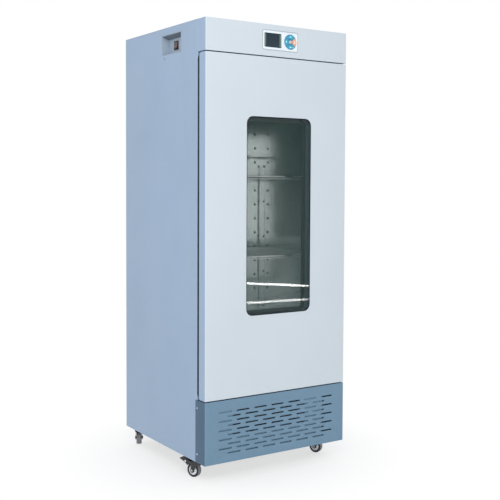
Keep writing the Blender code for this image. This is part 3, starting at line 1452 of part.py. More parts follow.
def caster_wheel(name, place):
    """A wheel with its tyre, standing on one of its flats, bored for the axle."""
    half = WHEEL_WIDTH / 2
    outer = WHEEL_RADIUS / math.cos(math.pi / WHEEL_SIDES)
    bore = AXLE_RADIUS + AXLE_CLEARANCE
    profile = [
        (outer - WHEEL_CHAMFER, -half),
        (outer, -half + WHEEL_CHAMFER),
        (outer, half - WHEEL_CHAMFER),
        (outer - WHEEL_CHAMFER, half),
    ]
    turn = Matrix.Translation((WHEEL_TRAIL, 0, WHEEL_RADIUS)) @ Matrix.Rotation(-math.pi / 2, 4, "X")
    turn = turn @ Matrix.Rotation(math.pi / WHEEL_SIDES + math.pi / 2, 4, "Z")
    wheel = turned(name, profile, turn, TYRE, WHEEL_SIDES)
    hole = [circle(WHEEL_TRAIL, WHEEL_RADIUS, bore, 12)]
    cut(wheel, sheet_piece("bore", hole, "Y", -WHEEL_WIDTH, WHEEL_WIDTH, None))
    wheel.matrix_world = place @ wheel.matrix_world
    return wheel


def brake_pedal(name, place):
    """A pedal on a pin between the fork's ears, with a nose that meets the tyre when it is pressed."""
    x, z = pivot = pedal_pivot()
    half = WHEEL_WIDTH / 2 + FORK_SIDE_GAP - PEDAL_SIDE_GAP
    tip = (x + PEDAL_LENGTH, z + PEDAL_RISE)
    lever = [link(pivot, tip, PEDAL_EYE_RADIUS, PEDAL_TIP_RADIUS, 4)]
    pedal = sheet_piece(name, lever, "Y", -half, half, BLACK_STEEL)
    tyre = WHEEL_RADIUS / math.cos(math.pi / WHEEL_SIDES)
    to_axle = Vector((WHEEL_TRAIL - x, WHEEL_RADIUS - z))
    reach = to_axle.length - tyre - BRAKE_GAP - BRAKE_NOSE_RADIUS
    angle = math.atan2(to_axle.y, to_axle.x) + PEDAL_TRAVEL
    nose_end = (x + reach * math.cos(angle), z + reach * math.sin(angle))
    nose = [link(pivot, nose_end, PEDAL_EYE_RADIUS, BRAKE_NOSE_RADIUS, 4)]
    join(pedal, sheet_piece("nose", nose, "Y", -WHEEL_WIDTH / 2, WHEEL_WIDTH / 2, None))
    bore = [circle(x, z, PEDAL_PIN_RADIUS + PEDAL_PIN_CLEARANCE, 8)]
    cut(pedal, sheet_piece("bore", bore, "Y", -WHEEL_WIDTH, WHEEL_WIDTH, None))
    centred(pedal, (x, 0, z))
    pedal.matrix_world = place @ pedal.matrix_world
    return pedal


def caster(name, x, y, turn, braked):
    """One caster: its plate, the fork that swivels under it, and the wheel and pedal in the fork."""
    pivot = Matrix.Translation((x, y, 0))
    place = pivot @ Matrix.Rotation(math.pi / 2 + turn, 4, "Z")
    caster_plate(f"caster_plate_{name}", pivot)
    fork = caster_fork(f"caster_fork_{name}", place, braked)
    carried(fork, caster_wheel(f"caster_wheel_{name}", place))
    if braked:
        carried(fork, brake_pedal(f"brake_pedal_{name}", place))


def casters():
    """Braked casters at the front and plain ones at the back."""
    side = CABINET_WIDTH / 2 - CASTER_FROM_SIDE
    front, rear = FRONT + CASTER_FROM_FRONT, BACK - CASTER_FROM_BACK
    caster("front_left", -side, front, FRONT_CASTER_TURN, True)
    caster("front_right", side, front, FRONT_CASTER_TURN, True)
    caster("rear_left", -side, rear, REAR_CASTER_TURN, False)
    caster("rear_right", side, rear, -REAR_CASTER_TURN, False)


def clear_scene():
    """Remove the objects of the scene that Blender opened with."""
    for old in list(bpy.data.objects):
        bpy.data.objects.remove(old)


def build():
    """Make every piece of the incubator."""
    clear_scene()
    bpy.context.scene.collection.children.link(MODEL)
    bpy.context.scene.collection.children.link(CUTTERS)
    left_panel()
    side_panel("side_panel_right", 1)
    top_panel()
    back_panel()
    base_pan()
    header_fascia()
    grille_cover()
    front_sill()
    control_bezel()
    display_module()
    keys()
    door()
    hinge_brackets()
    insulation()
    inner_liner()
    duct_panel()
    breaker_frame()
    shelf_rack("shelf_rack_left", -1)
    shelf_rack("shelf_rack_right", 1)
    for name, level in zip(SHELF_NAMES, SHELF_LEVELS):
        shelf(name, level)
    sensor_probe()
    circulation_fan()
    coils()
    condenser()
    cooling_fan()
    compressor()
    power_inlet()
    switch_pocket()
    switch_frame()
    power_rocker()
    casters()


build()
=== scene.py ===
"""Looks for a tall incubator: a cabinet with a windowed door, on four casters.

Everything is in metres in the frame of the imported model, with the door towards -Y, its hinges at +X
and the floor at z = 0. Each sub-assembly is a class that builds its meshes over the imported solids
and gives them their finishes.
"""

from __future__ import annotations

import json
import logging
import math
from dataclasses import dataclass
from enum import Enum
from typing import Any, Sequence, Union

import bmesh
import bpy
from mathutils import Euler, Matrix, Vector

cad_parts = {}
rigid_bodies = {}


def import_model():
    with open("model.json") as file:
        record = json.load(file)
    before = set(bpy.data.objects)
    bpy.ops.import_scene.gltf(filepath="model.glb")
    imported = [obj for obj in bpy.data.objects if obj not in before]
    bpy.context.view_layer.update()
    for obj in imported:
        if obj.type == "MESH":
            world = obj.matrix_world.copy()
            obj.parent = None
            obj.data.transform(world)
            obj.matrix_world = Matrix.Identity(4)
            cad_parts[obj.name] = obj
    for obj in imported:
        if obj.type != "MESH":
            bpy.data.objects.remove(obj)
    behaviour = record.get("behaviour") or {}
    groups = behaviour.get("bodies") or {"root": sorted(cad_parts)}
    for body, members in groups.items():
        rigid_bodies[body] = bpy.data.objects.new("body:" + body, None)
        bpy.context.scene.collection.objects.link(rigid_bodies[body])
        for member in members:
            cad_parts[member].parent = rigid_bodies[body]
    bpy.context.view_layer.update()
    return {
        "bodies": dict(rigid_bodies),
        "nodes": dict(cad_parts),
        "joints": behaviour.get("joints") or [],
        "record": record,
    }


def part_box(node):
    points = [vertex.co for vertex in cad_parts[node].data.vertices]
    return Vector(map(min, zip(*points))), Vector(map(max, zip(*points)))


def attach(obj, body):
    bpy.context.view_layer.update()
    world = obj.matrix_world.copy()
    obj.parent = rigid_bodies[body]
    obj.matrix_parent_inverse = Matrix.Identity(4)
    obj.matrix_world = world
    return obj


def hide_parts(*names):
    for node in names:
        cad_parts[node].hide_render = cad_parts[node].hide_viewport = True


LOG = logging.getLogger("incubator")
Colour = tuple[float, float, float]
Point = tuple[float, float, float]
Loop = list[tuple[float, float]]
Places = Sequence[tuple[Point, Sequence[float]]]
Value = Union[float, int, str, bool, Sequence[float], bpy.types.NodeSocket]


# Node trees

class Tree:
    """A node tree with short calls that add and wire its nodes."""

    def __init__(self, tree: bpy.types.NodeTree) -> None:
        """Wrap a tree.

        Args:
            tree: the shader or geometry tree to work in.
        """
        self.tree = tree

    def add(self, kind: str, settings: dict[str, object] | None = None, **inputs: Value) -> bpy.types.Node:
        """Add a node.

        Args:
            kind: the node's type.
            settings: the node's own properties.
            inputs: a value or a socket for each input, with _ for a space in its name.

        Returns:
            The new node.
        """
        node = self.tree.nodes.new(kind)
        for key, value in (settings or {}).items():
            setattr(node, key, value)
        for key, value in inputs.items():
            self.feed(node, key.replace("_", " "), value)
        return node

    def feed(self, node: bpy.types.Node, label: str, value: Value) -> None:
        """Set or link one input, found by its name or by its number after a # sign.

        Args:
            node: the node.
            label: the input's name, or its number after a # sign.
            value: a plain value, or a socket to link.
        """
        socket = node.inputs[int(label[1:])] if label.startswith("#") else node.inputs[label]
        if isinstance(value, bpy.types.NodeSocket):
            self.tree.links.new(value, socket)
        else:
            socket.default_value = value

    def maths(self, operation: str, first: Value, second: Value = 0.0,
              third: Value = 0.0) -> bpy.types.NodeSocket:
        """One Math node's result, from up to three values or sockets.

        Args:
            operation: what the node works out.
            first: its first value.
            second: its second value.
            third: its third value.

        Returns:
            The result's socket.
        """
        node = self.add("ShaderNodeMath", {"operation": operation})
        for number, value in enumerate((first, second, third)):
            self.feed(node, f"#{number}", value)
        return node.outputs[0]

    def ramp(self, value: Value, low: float, high: float, out_low: Value,
             out_high: Value) -> bpy.types.NodeSocket:
        """A value mapped from one range to another, clamped at both ends.

        Args:
            value: the value to map.
            low: where it starts to change.
            high: where it ends.
            out_low: the result up to the start.
            out_high: the result from the end on.

        Returns:
            The result's socket.
        """
        node = self.add("ShaderNodeMapRange", None, Value=value, From_Min=low, From_Max=high,
                        To_Min=out_low, To_Max=out_high)
        return node.outputs[0]

    def blend(self, mask: Value, first: Value, second: Value) -> bpy.types.NodeSocket:
        """Two colours mixed by a mask.

        Args:
            mask: 0 for the first colour, 1 for the second.
            first: a colour or its socket.
            second: a colour or its socket.

        Returns:
            The mixed colour's socket.
        """
        node = self.add("ShaderNodeMix", {"data_type": "RGBA"})
        self.feed(node, "#0", mask)
        self.feed(node, "#6", first if isinstance(first, bpy.types.NodeSocket) else (*first, 1.0))
        self.feed(node, "#7", second if isinstance(second, bpy.types.NodeSocket) else (*second, 1.0))
        return node.outputs[2]

    def noise(self, vector: Value, scale: Value, detail: float = 2.0,
              rough: float = 0.5) -> bpy.types.NodeSocket:
        """A noise texture's value, from 0 to 1."""
        node = self.add("ShaderNodeTexNoise", None, Vector=vector, Scale=scale, Detail=detail,
                        Roughness=rough)
        return node.outputs[0]

    def scaled(self, colour: Value, level: Value) -> bpy.types.NodeSocket:
        """A colour made lighter or darker by a factor.

        Args:
            colour: the colour's socket.
            level: the factor.

        Returns:
            The new colour's socket.
        """
        node = self.add("ShaderNodeVectorMath", {"operation": "SCALE"}, Scale=level)
        self.feed(node, "#0", colour)
        return node.outputs[0]

    def looked_at(self) -> bpy.types.NodeSocket:
        """A mask that is 1 for what the camera, gloss or glass sees, and 0 for light on other surfaces.

        Returns:
            The mask's socket.
        """
        path = self.add("ShaderNodeLightPath")
        mask = self.maths("MAXIMUM", path.outputs["Is Camera Ray"], path.outputs["Is Glossy Ray"])
        return self.maths("MAXIMUM", mask, path.outputs["Is Transmission Ray"])

    def finish(self, mask: Value, first: bpy.types.Node, second: bpy.types.Node, last: str) -> None:
        """Mix two shaders by a mask, and wire them to the tree's output.

        Args:
            mask: 0 for the first shader, 1 for the second.
            first: a shader node.
            second: a shader node.
            last: the output node's name.
        """
        mix = self.add("ShaderNodeMixShader", None, Fac=mask)
        self.feed(mix, "#1", first.outputs[0])
        self.feed(mix, "#2", second.outputs[0])
        self.feed(self.tree.nodes[last], "Surface", mix.outputs[0])


Started = tuple[Tree, bpy.types.Node, bpy.types.Node]
SOCKETS = {"f": "NodeSocketFloat", "v": "NodeSocketVector", "c": "NodeSocketColor"}


def effect(name: str, inputs: dict[str, str], outputs: dict[str, str]) -> Started:
    """Start a shader group.

    Args:
        name: the group's name.
        inputs: the kind of each named input: f for a number, v for a vector, c for a colour.
        outputs: the same for each named output.

    Returns:
        The tree, its Group Input and its Group Output.
    """
    tree = bpy.data.node_groups.new(name, "ShaderNodeTree")
    for way, sockets in (("INPUT", inputs), ("OUTPUT", outputs)):
        for label, kind in sockets.items():
            tree.interface.new_socket(label, in_out=way, socket_type=SOCKETS[kind])
    work = Tree(tree)
    return work, work.add("NodeGroupInput"), work.add("NodeGroupOutput")


class Effects:
    """The surface effects that several finishes share."""

    def __init__(self) -> None:
        """Build each group once."""
        self.drift = self._drift()
        self.grit = self._grit()
        self.grain = self._grain()
        self.handling = self._handling()
        self.dust = self._dust()
        self.sides = self._sides_with_painted_light()

    def _drift(self) -> bpy.types.NodeTree:
        """A colour that gets slowly lighter and darker over the surface.

        Returns:
            The effect's node group.
        """
        work, get, give = effect("colour_drift", {"Vector": "v", "Colour": "c", "Amount": "f", "Scale": "f"},
                                 {"Colour": "c"})
        value = work.noise(get.outputs["Vector"], get.outputs["Scale"], 3.0, 0.6)
        low = work.maths("SUBTRACT", 1.0, get.outputs["Amount"])
        high = work.maths("ADD", 1.0, get.outputs["Amount"])
        level = work.ramp(value, 0.3, 0.7, low, high)
        work.feed(give, "Colour", work.scaled(get.outputs["Colour"], level))
        return work.tree

    def _grit(self) -> bpy.types.NodeTree:
        """Height of a sprayed or moulded skin: soft dimples with a finer grain on them.

        Returns:
            The effect's node group.
        """
        work, get, give = effect("fine_grit", {"Vector": "v", "Scale": "f", "Fineness": "f"},
                                 {"Height": "f"})
        soft = work.noise(get.outputs["Vector"], get.outputs["Scale"], 1.0)
        finer = work.maths("MULTIPLY", get.outputs["Scale"], 5.0)
        fine = work.noise(get.outputs["Vector"], finer, 2.0)
        work.feed(give, "Height", work.maths("MULTIPLY_ADD", fine, get.outputs["Fineness"], soft))
        return work.tree

    def _grain(self) -> bpy.types.NodeTree:
        """Brushed metal: long scratches along the direction in which the vector is squeezed.

        Returns:
            The effect's node group.
        """
        work, get, give = effect(
            "brushed_grain",
            {"Vector": "v", "Stretch": "v", "Colour": "c", "Contrast": "f", "Smooth": "f", "Rough": "f"},
            {"Colour": "c", "Roughness": "f", "Height": "f"},
        )
        stretched = work.add("ShaderNodeVectorMath", {"operation": "MULTIPLY"})
        work.feed(stretched, "#0", get.outputs["Vector"])
        work.feed(stretched, "#1", get.outputs["Stretch"])
        lines = work.noise(stretched.outputs[0], 1.0, 4.0, 0.65)
        cloud = work.noise(get.outputs["Vector"], 6.0, 2.0)
        both = work.maths("MULTIPLY_ADD", cloud, 0.5, lines)
        dark = work.maths("SUBTRACT", 1.0, get.outputs["Contrast"])
        level = work.ramp(both, 0.5, 1.0, dark, 1.0)
        work.feed(give, "Colour", work.scaled(get.outputs["Colour"], level))
        work.feed(give, "Roughness", work.ramp(both, 0.5, 1.0, get.outputs["Smooth"], get.outputs["Rough"]))
        work.feed(give, "Height", lines)
        return work.tree

    def _handling(self) -> bpy.types.NodeTree:
        """Roughness of a surface that hands and cloths have touched in patches.

        Returns:
            The effect's node group.
        """
        work, get, give = effect("handled_patches",
                                 {"Vector": "v", "Scale": "f", "Clean": "f", "Handled": "f"},
                                 {"Roughness": "f"})
        patches = work.noise(get.outputs["Vector"], get.outputs["Scale"], 4.0, 0.6)
        value = work.ramp(patches, 0.42, 0.68, get.outputs["Clean"], get.outputs["Handled"])
        work.feed(give, "Roughness", value)
        return work.tree

    def _dust(self) -> bpy.types.NodeTree:
        """A thin film of dust on the faces that look up.

        Returns:
            The effect's node group.
        """
        work, get, give = effect("settled_dust", {"Vector": "v", "Colour": "c", "Dust": "c", "Amount": "f"},
                                 {"Colour": "c"})
        normal = work.add("ShaderNodeNewGeometry").outputs["Normal"]
        rise = work.add("ShaderNodeSeparateXYZ", None, Vector=normal).outputs["Z"]
        patches = work.noise(get.outputs["Vector"], 60.0, 4.0, 0.7)
        upward = work.ramp(rise, 0.2, 0.9, 0.15, 1.0)
        mask = work.maths("MULTIPLY", upward, work.ramp(patches, 0.35, 0.7, 0.2, 1.0))
        mask = work.maths("MULTIPLY", mask, get.outputs["Amount"])
        work.feed(give, "Colour", work.blend(mask, get.outputs["Colour"], get.outputs["Dust"]))
        return work.tree

    def _sides_with_painted_light(self) -> bpy.types.NodeTree:
        """One colour to the front and the back, a painted shade colour on the rest; a painted highlight on
        rounded corners, painted shade on faces that look down.

        Returns:
            The effect's node group.
        """
        work, get, give = effect("front_and_sides_with_painted_light", {"Front": "c", "Side": "c", "Corner": "f", "Under": "f"},
                                 {"Colour": "c"})
        normal = work.add("ShaderNodeNewGeometry").outputs["Normal"]
        parts = work.add("ShaderNodeSeparateXYZ", None, Vector=normal)
        forward = work.maths("ABSOLUTE", parts.outputs["Y"])
        # Painted shade: faces that look down are darkened.
        level = work.ramp(parts.outputs["Z"], -0.9, -0.5, get.outputs["Under"], 1.0)
        # Painted shade: faces that don't look to the front or the back take the side colour.
        tone_with_painted_light = work.blend(work.ramp(forward, 0.30, 0.60, 0.0, 1.0), get.outputs["Side"],
                          get.outputs["Front"])
        # Painted highlight: rounded corners between the front and a side are brightened.
        turn = work.maths("MULTIPLY", work.ramp(forward, 0.35, 0.60, 0.0, 1.0),
                          work.ramp(forward, 0.94, 0.995, 1.0, 0.0))
        painted_highlight_level = work.maths("MULTIPLY_ADD", turn, get.outputs["Corner"], 1.0)
        work.feed(give, "Colour", work.scaled(tone_with_painted_light, work.maths("MULTIPLY", painted_highlight_level, level)))
        return work.tree


class Recipe(Tree):
    """A material in the making: its nodes and its Principled BSDF."""

    shared: Effects

    def __init__(self, name: str, **sockets: Value) -> None:
        """Start a material.

        Args:
            name: the material's name.
            sockets: plain values for the shader's own sockets, with _ for a space.
        """
        self.material = bpy.data.materials.new(name)
        self.material.use_nodes = True
        super().__init__(self.material.node_tree)
        self.shader = self.tree.nodes["Principled BSDF"]
        self.place = self.add("ShaderNodeTexCoord").outputs["Object"]
        for label, value in sockets.items():
            self.feed(self.shader, label.replace("_", " "), value)

    def use(self, group: bpy.types.NodeTree, **inputs: Value) -> bpy.types.Node:
        """Place a shared effect on the object's own coordinates.

        Args:
            group: the effect's tree.
            inputs: a value or a socket for each of its inputs; a colour has three numbers.

        Returns:
            The group node.
        """
        node = self.add("ShaderNodeGroup", {"node_tree": group})
        if "Vector" in node.inputs:
            self.feed(node, "Vector", self.place)
        for label, value in inputs.items():
            if node.inputs[label].type == "RGBA" and not isinstance(value, bpy.types.NodeSocket):
                value = (*value, 1.0)
            self.feed(node, label, value)
        return node

    def bump(self, height: bpy.types.NodeSocket, depth: float, strength: float = 1.0) -> None:
        """Raise the surface by a height that is this deep in metres."""
        node = self.add("ShaderNodeBump", None, Height=height, Distance=depth, Strength=strength)
        self.feed(self.shader, "Normal", node.outputs["Normal"])


# Finishes

@dataclass(frozen=True)
class Paint:
    """Powder coat on sheet steel, with a fine orange peel; a side colour darker than the front and darker
    undersides are painted shade, brighter corners a painted highlight.
    """

    name: str
    front: Colour
    # The side faces' colour; where it is darker than the front it is painted shade.
    side: Colour
    gloss: float = 0.38
    worn: float = 0.46
    peel: float = 0.00008
    # Strength of the painted highlight on rounded corners.
    corner: float = 0.0
    # Painted shade on faces that look down, as a factor on their colour.
    under: float = 1.0

    def build(self) -> bpy.types.Material:
        """The finished material.

        Returns:
            The material.
        """
        work = Recipe(self.name, Specular_IOR_Level=0.35, Coat_Weight=0.12, Coat_Roughness=0.25)
        # Painted shade and highlight: side colour, brighter corners and darker undersides by the way each
        # face turns.
        tone_with_painted_light = work.use(work.shared.sides, Front=self.front, Side=self.side, Corner=self.corner,
                        Under=self.under)
        colour = work.use(work.shared.drift, Colour=tone_with_painted_light.outputs[0], Amount=0.022, Scale=2.2)
        work.feed(work.shader, "Base Color", colour.outputs[0])
        rough = work.use(work.shared.handling, Scale=7.0, Clean=self.gloss, Handled=self.worn)
        work.feed(work.shader, "Roughness", rough.outputs[0])
        work.bump(work.use(work.shared.grit, Scale=900.0, Fineness=0.3).outputs[0], self.peel)
        return work.material


@dataclass(frozen=True)
class Steel:
    """Brushed or plated metal, its grain along one axis."""

    name: str
    colour: Colour
    stretch: Point
    smooth: float = 0.2
    rough: float = 0.36
    contrast: float = 0.25
    depth: float = 0.00004

    def build(self) -> bpy.types.Material:
        """The finished material.

        Returns:
            The material.
        """
        work = Recipe(self.name, Metallic=1.0)
        grain = work.use(work.shared.grain, Stretch=self.stretch, Colour=self.colour, Contrast=self.contrast,
                         Smooth=self.smooth, Rough=self.rough)
        work.feed(work.shader, "Base Color", grain.outputs["Colour"])
        work.feed(work.shader, "Roughness", grain.outputs["Roughness"])
        work.bump(grain.outputs["Height"], self.depth)
        return work.material


@dataclass(frozen=True)
class Moulded:
    """Moulded plastic or rubber with a fine skin, and dust where it stands low or hidden."""

    name: str
    colour: Colour
    roughness: float = 0.45
    handled: float = 0.55
    scale: float = 1500.0
    depth: float = 0.00005
    dust: float = 0.0
    specular: float = 0.5
    coat: float = 0.0

    def build(self) -> bpy.types.Material:
        """The finished material.

        Returns:
            The material.
        """
        work = Recipe(self.name, Specular_IOR_Level=self.specular, Coat_Weight=self.coat,
                      Coat_Roughness=0.08)
        colour = work.use(work.shared.drift, Colour=self.colour, Amount=0.05, Scale=24.0).outputs[0]
        if self.dust:
            colour = work.use(work.shared.dust, Colour=colour, Dust=(0.42, 0.41, 0.39),
                              Amount=self.dust).outputs[0]
        work.feed(work.shader, "Base Color", colour)
        rough = work.use(work.shared.handling, Scale=60.0, Clean=self.roughness, Handled=self.handled)
        work.feed(work.shader, "Roughness", rough.outputs[0])
        work.bump(work.use(work.shared.grit, Scale=self.scale, Fineness=0.5).outputs[0], self.depth)
        return work.material


@dataclass(frozen=True)
class Pane:
    """Thin clear glass, as a tint that lets the chamber's light through."""

    name: str
    tint: Colour
    cover: float
    ior: float
    mirror: float

    def build(self) -> bpy.types.Material:
        """The finished material.

        Returns:
            The material.
        """
        work = Recipe(self.name, Alpha=self.cover, IOR=self.ior, Specular_IOR_Level=self.mirror)
        colour = work.use(work.shared.drift, Colour=self.tint, Amount=0.08, Scale=3.0)
        work.feed(work.shader, "Base Color", colour.outputs[0])
        rough = work.use(work.shared.handling, Scale=9.0, Clean=0.012, Handled=0.022)
        work.feed(work.shader, "Roughness", rough.outputs[0])
        return work.material


@dataclass(frozen=True)
class Glowing:
    """A mark that emits light in its own colour: a painted glow on the keypad's arrows, and the lamp's own
    light on the keypad lamp.
    """

    name: str
    colour: Colour
    strength: float

    def build(self) -> bpy.types.Material:
        """The finished material.

        Returns:
            The material.
        """
        work = Recipe(self.name, Roughness=0.3, Emission_Strength=self.strength)
        colour = work.use(work.shared.drift, Colour=self.colour, Amount=0.06, Scale=400.0).outputs[0]
        work.feed(work.shader, "Base Color", colour)
        work.feed(work.shader, "Emission Color", colour)
        return work.material


@dataclass(frozen=True)
class Display:
    """A dark liquid crystal panel with a lighter strip at its left and right edges."""

    name: str
    middle: Point
    half_width: float
    half_height: float

    def build(self) -> bpy.types.Material:
        """The finished material.

        Returns:
            The material.
        """
        work = Recipe(self.name, Roughness=0.25, Specular_IOR_Level=0.25)
        centred = work.add("ShaderNodeMapping", None, Vector=work.place, Location=[-c for c in self.middle])
        parts = work.add("ShaderNodeSeparateXYZ", None, Vector=centred.outputs[0])
        across = work.maths("DIVIDE", work.maths("ABSOLUTE", parts.outputs["X"]), self.half_width)
        height = work.maths("DIVIDE", work.maths("ABSOLUTE", parts.outputs["Z"]), self.half_height)
        panel = work.blend(work.ramp(parts.outputs["Z"], -self.half_height, self.half_height, 0.0, 1.0),
                           (0.018, 0.038, 0.052), (0.013, 0.028, 0.040))
        strip = work.maths("MULTIPLY", work.ramp(across, 0.76, 0.80, 0.0, 1.0),
                           work.ramp(across, 0.985, 1.0, 1.0, 0.0))
        strip = work.maths("MULTIPLY", strip, work.ramp(height, 0.82, 0.92, 1.0, 0.0))
        colour = work.blend(strip, panel, (0.15, 0.20, 0.20))
        speck = work.use(work.shared.drift, Colour=colour, Amount=0.05, Scale=900.0)
        work.feed(work.shader, "Base Color", speck.outputs[0])
        return work.material


@dataclass(frozen=True)
class Foam:
    """Poured insulation with an open skin."""

    name: str
    colour: Colour

    def build(self) -> bpy.types.Material:
        """The finished material.

        Returns:
            The material.
        """
        work = Recipe(self.name, Roughness=0.9, Specular_IOR_Level=0.2)
        cells = work.add("ShaderNodeTexVoronoi", None, Vector=work.place, Scale=260.0)
        colour = work.use(work.shared.drift, Colour=self.colour, Amount=0.12, Scale=20.0)
        work.feed(work.shader, "Base Color", colour.outputs[0])
        work.bump(cells.outputs["Distance"], 0.0004)
        return work.material


Finish = Union[Paint, Steel, Moulded, Pane, Glowing, Display, Foam]


class Palette:
    """Every finish on the incubator, each built once."""

    # White paint on the front; its sides take the blue-grey as painted shade, and its rounded corners get a
    # painted highlight.
    WHITE = Paint("white_powder_coat_with_painted_shade_and_highlight", (0.585, 0.640, 0.690), (0.318, 0.425, 0.575), corner=0.08)
    # Blue-grey paint, the same on every face, with a painted highlight on its rounded corners.
    BLUE = Paint("blue_grey_powder_coat_with_painted_highlight", (0.318, 0.425, 0.575), (0.318, 0.425, 0.575), 0.42, 0.52,
                 corner=0.18)
    # Grille paint: darker sides, also inside the slots, as painted shade, and a painted highlight on its
    # rounded corners.
    GRILLE = Paint("grille_powder_coat_with_painted_shade_and_highlight", (0.145, 0.250, 0.35), (0.056, 0.115, 0.185), 0.40, 0.50,
                   corner=0.10)
    # Recess paint: faces that look down, such as the recess's ceiling, are darkened as painted shade.
    RECESS = Paint("recess_powder_coat_with_painted_shade", (0.36, 0.44, 0.53), (0.36, 0.44, 0.53), 0.42, 0.52, under=0.36)
    GUIDE = Paint("air_guide_paint", (0.15, 0.245, 0.335), (0.15, 0.245, 0.335), 0.40, 0.50)
    GALVANISED = Steel("galvanised_sheet", (0.56, 0.58, 0.59), (30.0, 30.0, 30.0), 0.35, 0.5, 0.2, 0.00002)
    STAINLESS = Steel("brushed_stainless", (0.70, 0.74, 0.73), (500.0, 8.0, 900.0), 0.08, 0.18, 0.2, 0.00001)
    CHROME = Steel("chromed_wire", (0.72, 0.73, 0.74), (120.0, 120.0, 120.0), 0.08, 0.2, 0.1, 0.00001)
    ZINC = Steel("zinc_plated_screw", (0.62, 0.63, 0.64), (700.0, 700.0, 700.0), 0.25, 0.4, 0.15, 0.00001)
    COPPER = Steel("drawn_copper", (0.72, 0.36, 0.22), (260.0, 60.0, 60.0), 0.2, 0.4)
    FINS = Steel("aluminium_fin", (0.70, 0.71, 0.72), (60.0, 60.0, 500.0), 0.3, 0.5)
    FOAM = Foam("poured_foam", (0.80, 0.72, 0.50))
    # Liner plastic: pale to the front and the back; its other faces are near black as painted shade.
    LINER = Paint("door_liner_plastic_with_painted_shade", (0.70, 0.73, 0.74), (0.075, 0.105, 0.125), 0.35, 0.45, 0.00003)
    BEZEL = Moulded("bezel_plastic", (0.77, 0.83, 0.88), 0.30, 0.40, specular=0.4)
    TRIM = Moulded("bezel_shadow_trim", (0.38, 0.43, 0.48), 0.5, 0.6)
    GREY = Moulded("grey_plastic", (0.30, 0.33, 0.36), 0.45, 0.55)
    BLACK = Moulded("black_plastic", (0.018, 0.019, 0.022), 0.40, 0.50)
    RED = Moulded("dark_red_plastic", (0.060, 0.006, 0.012), 0.22, 0.32, coat=0.3)
    TEAL = Moulded("teal_key", (0.040, 0.29, 0.45), 0.28, 0.36, coat=0.2)
    ORANGE = Moulded("orange_key", (0.80, 0.40, 0.25), 0.28, 0.36, coat=0.2)
    SILVER = Moulded("silver_key", (0.56, 0.52, 0.54), 0.30, 0.40, coat=0.2)
    RUBBER = Moulded("dark_rubber", (0.008, 0.014, 0.022), 0.55, 0.7, 900.0, 0.00008, specular=0.2)
    TYRE = Moulded("tyre_core", (0.016, 0.018, 0.022), 0.5, 0.65, 800.0, 0.0001, dust=0.10, specular=0.3)
    TREAD = Moulded("grey_tread_rubber", (0.24, 0.25, 0.27), 0.6, 0.75, 800.0, 0.0001, dust=0.30,
                    specular=0.3)
    HUB = Moulded("pale_hub_plastic", (0.86, 0.88, 0.90), 0.35, 0.45, dust=0.1)
    BLACK_STEEL = Moulded("black_coated_steel", (0.022, 0.024, 0.030), 0.32, 0.45, 1100.0, 0.00006,
                          dust=0.12)
    CAN = Moulded("black_compressor_paint", (0.012, 0.013, 0.015), 0.25, 0.4, 700.0, 0.0001, dust=0.3,
                  coat=0.2)
    OUTER = Pane("outer_pane", (0.002, 0.075, 0.066), 0.115, 2.4, 0.3)
    INNER = Pane("inner_pane", (0.010, 0.050, 0.045), 0.06, 1.45, 0.5)
    # Painted glow: the arrow marks emit light though no lamp is behind them; the keypad lamp below is a real
    # lamp.
    CYAN_PAINTED_GLOW = Glowing("cyan_mark_painted_glow", (0.30, 0.83, 0.95), 0.35)
    CREAM_PAINTED_GLOW = Glowing("cream_mark_painted_glow", (0.95, 0.80, 0.66), 0.10)
    LED = Glowing("white_lamp", (0.95, 0.97, 1.0), 0.5)
    MARK = Moulded("printed_mark", (0.34, 0.32, 0.33), 0.5, 0.6)

    def __init__(self) -> None:
        """Start with no material made."""
        self.made: dict[str, bpy.types.Material] = {}

    def get(self, finish: Finish) -> bpy.types.Material:
        """The material of a finish, built the first time it is asked for.

        Args:
            finish: the finish.

        Returns:
            Its material.
        """
        if finish.name not in self.made:
            self.made[finish.name] = finish.build()
        return self.made[finish.name]


# Making meshes

NEAR = 1e-5


class Facing(Enum):
    """Which way a repeated shape looks, as the turn that takes its own +Z there."""

    FRONT = (math.pi / 2, 0.0, 0.0)
    LEFT = (0.0, -math.pi / 2, 0.0)
    RIGHT = (0.0, math.pi / 2, 0.0)
    DOWN = (math.pi, 0.0, 0.0)


def linked(name: str, data: bpy.types.ID) -> bpy.types.Object:
    """A new object in the scene with this mesh, curve, lamp or camera.

    Args:
        name: the object's name.
        data: what it holds.

    Returns:
        The object.
    """
    made = bpy.data.objects.new(name, data)
    bpy.context.scene.collection.objects.link(made)
    return made


def settle(made: bpy.types.Object) -> bpy.types.Object:
    """Turn an object's evaluated shape into its own plain mesh.

    Args:
        made: a mesh or curve object with its modifiers.

    Returns:
        A mesh object of the same name, at the origin, without modifiers.
    """
    depsgraph = bpy.context.evaluated_depsgraph_get()
    depsgraph.update()
    mesh = bpy.data.meshes.new_from_object(made.evaluated_get(depsgraph), preserve_all_data_layers=True,
                                           depsgraph=depsgraph)
    mesh.transform(made.matrix_world)
    name = made.name
    bpy.data.objects.remove(made)
    mesh.name = name
    return linked(name, mesh)


def from_bmesh(name: str, work: bmesh.types.BMesh, smooth: float = 35.0) -> bpy.types.Object:
    """An object from a bmesh, its doubles merged and its faces turned outwards.

    Args:
        name: the object's name.
        work: the bmesh, which is freed.
        smooth: faces that meet at less than this many degrees are shaded smoothly.

    Returns:
        The mesh object.
    """
    bmesh.ops.remove_doubles(work, verts=work.verts, dist=1e-6)
    bmesh.ops.recalc_face_normals(work, faces=work.faces)
    mesh = bpy.data.meshes.new(name)
    work.to_mesh(mesh)
    work.free()
    mesh.shade_smooth()
    mesh.set_sharp_from_angle(angle=math.radians(smooth))
    return linked(name, mesh)


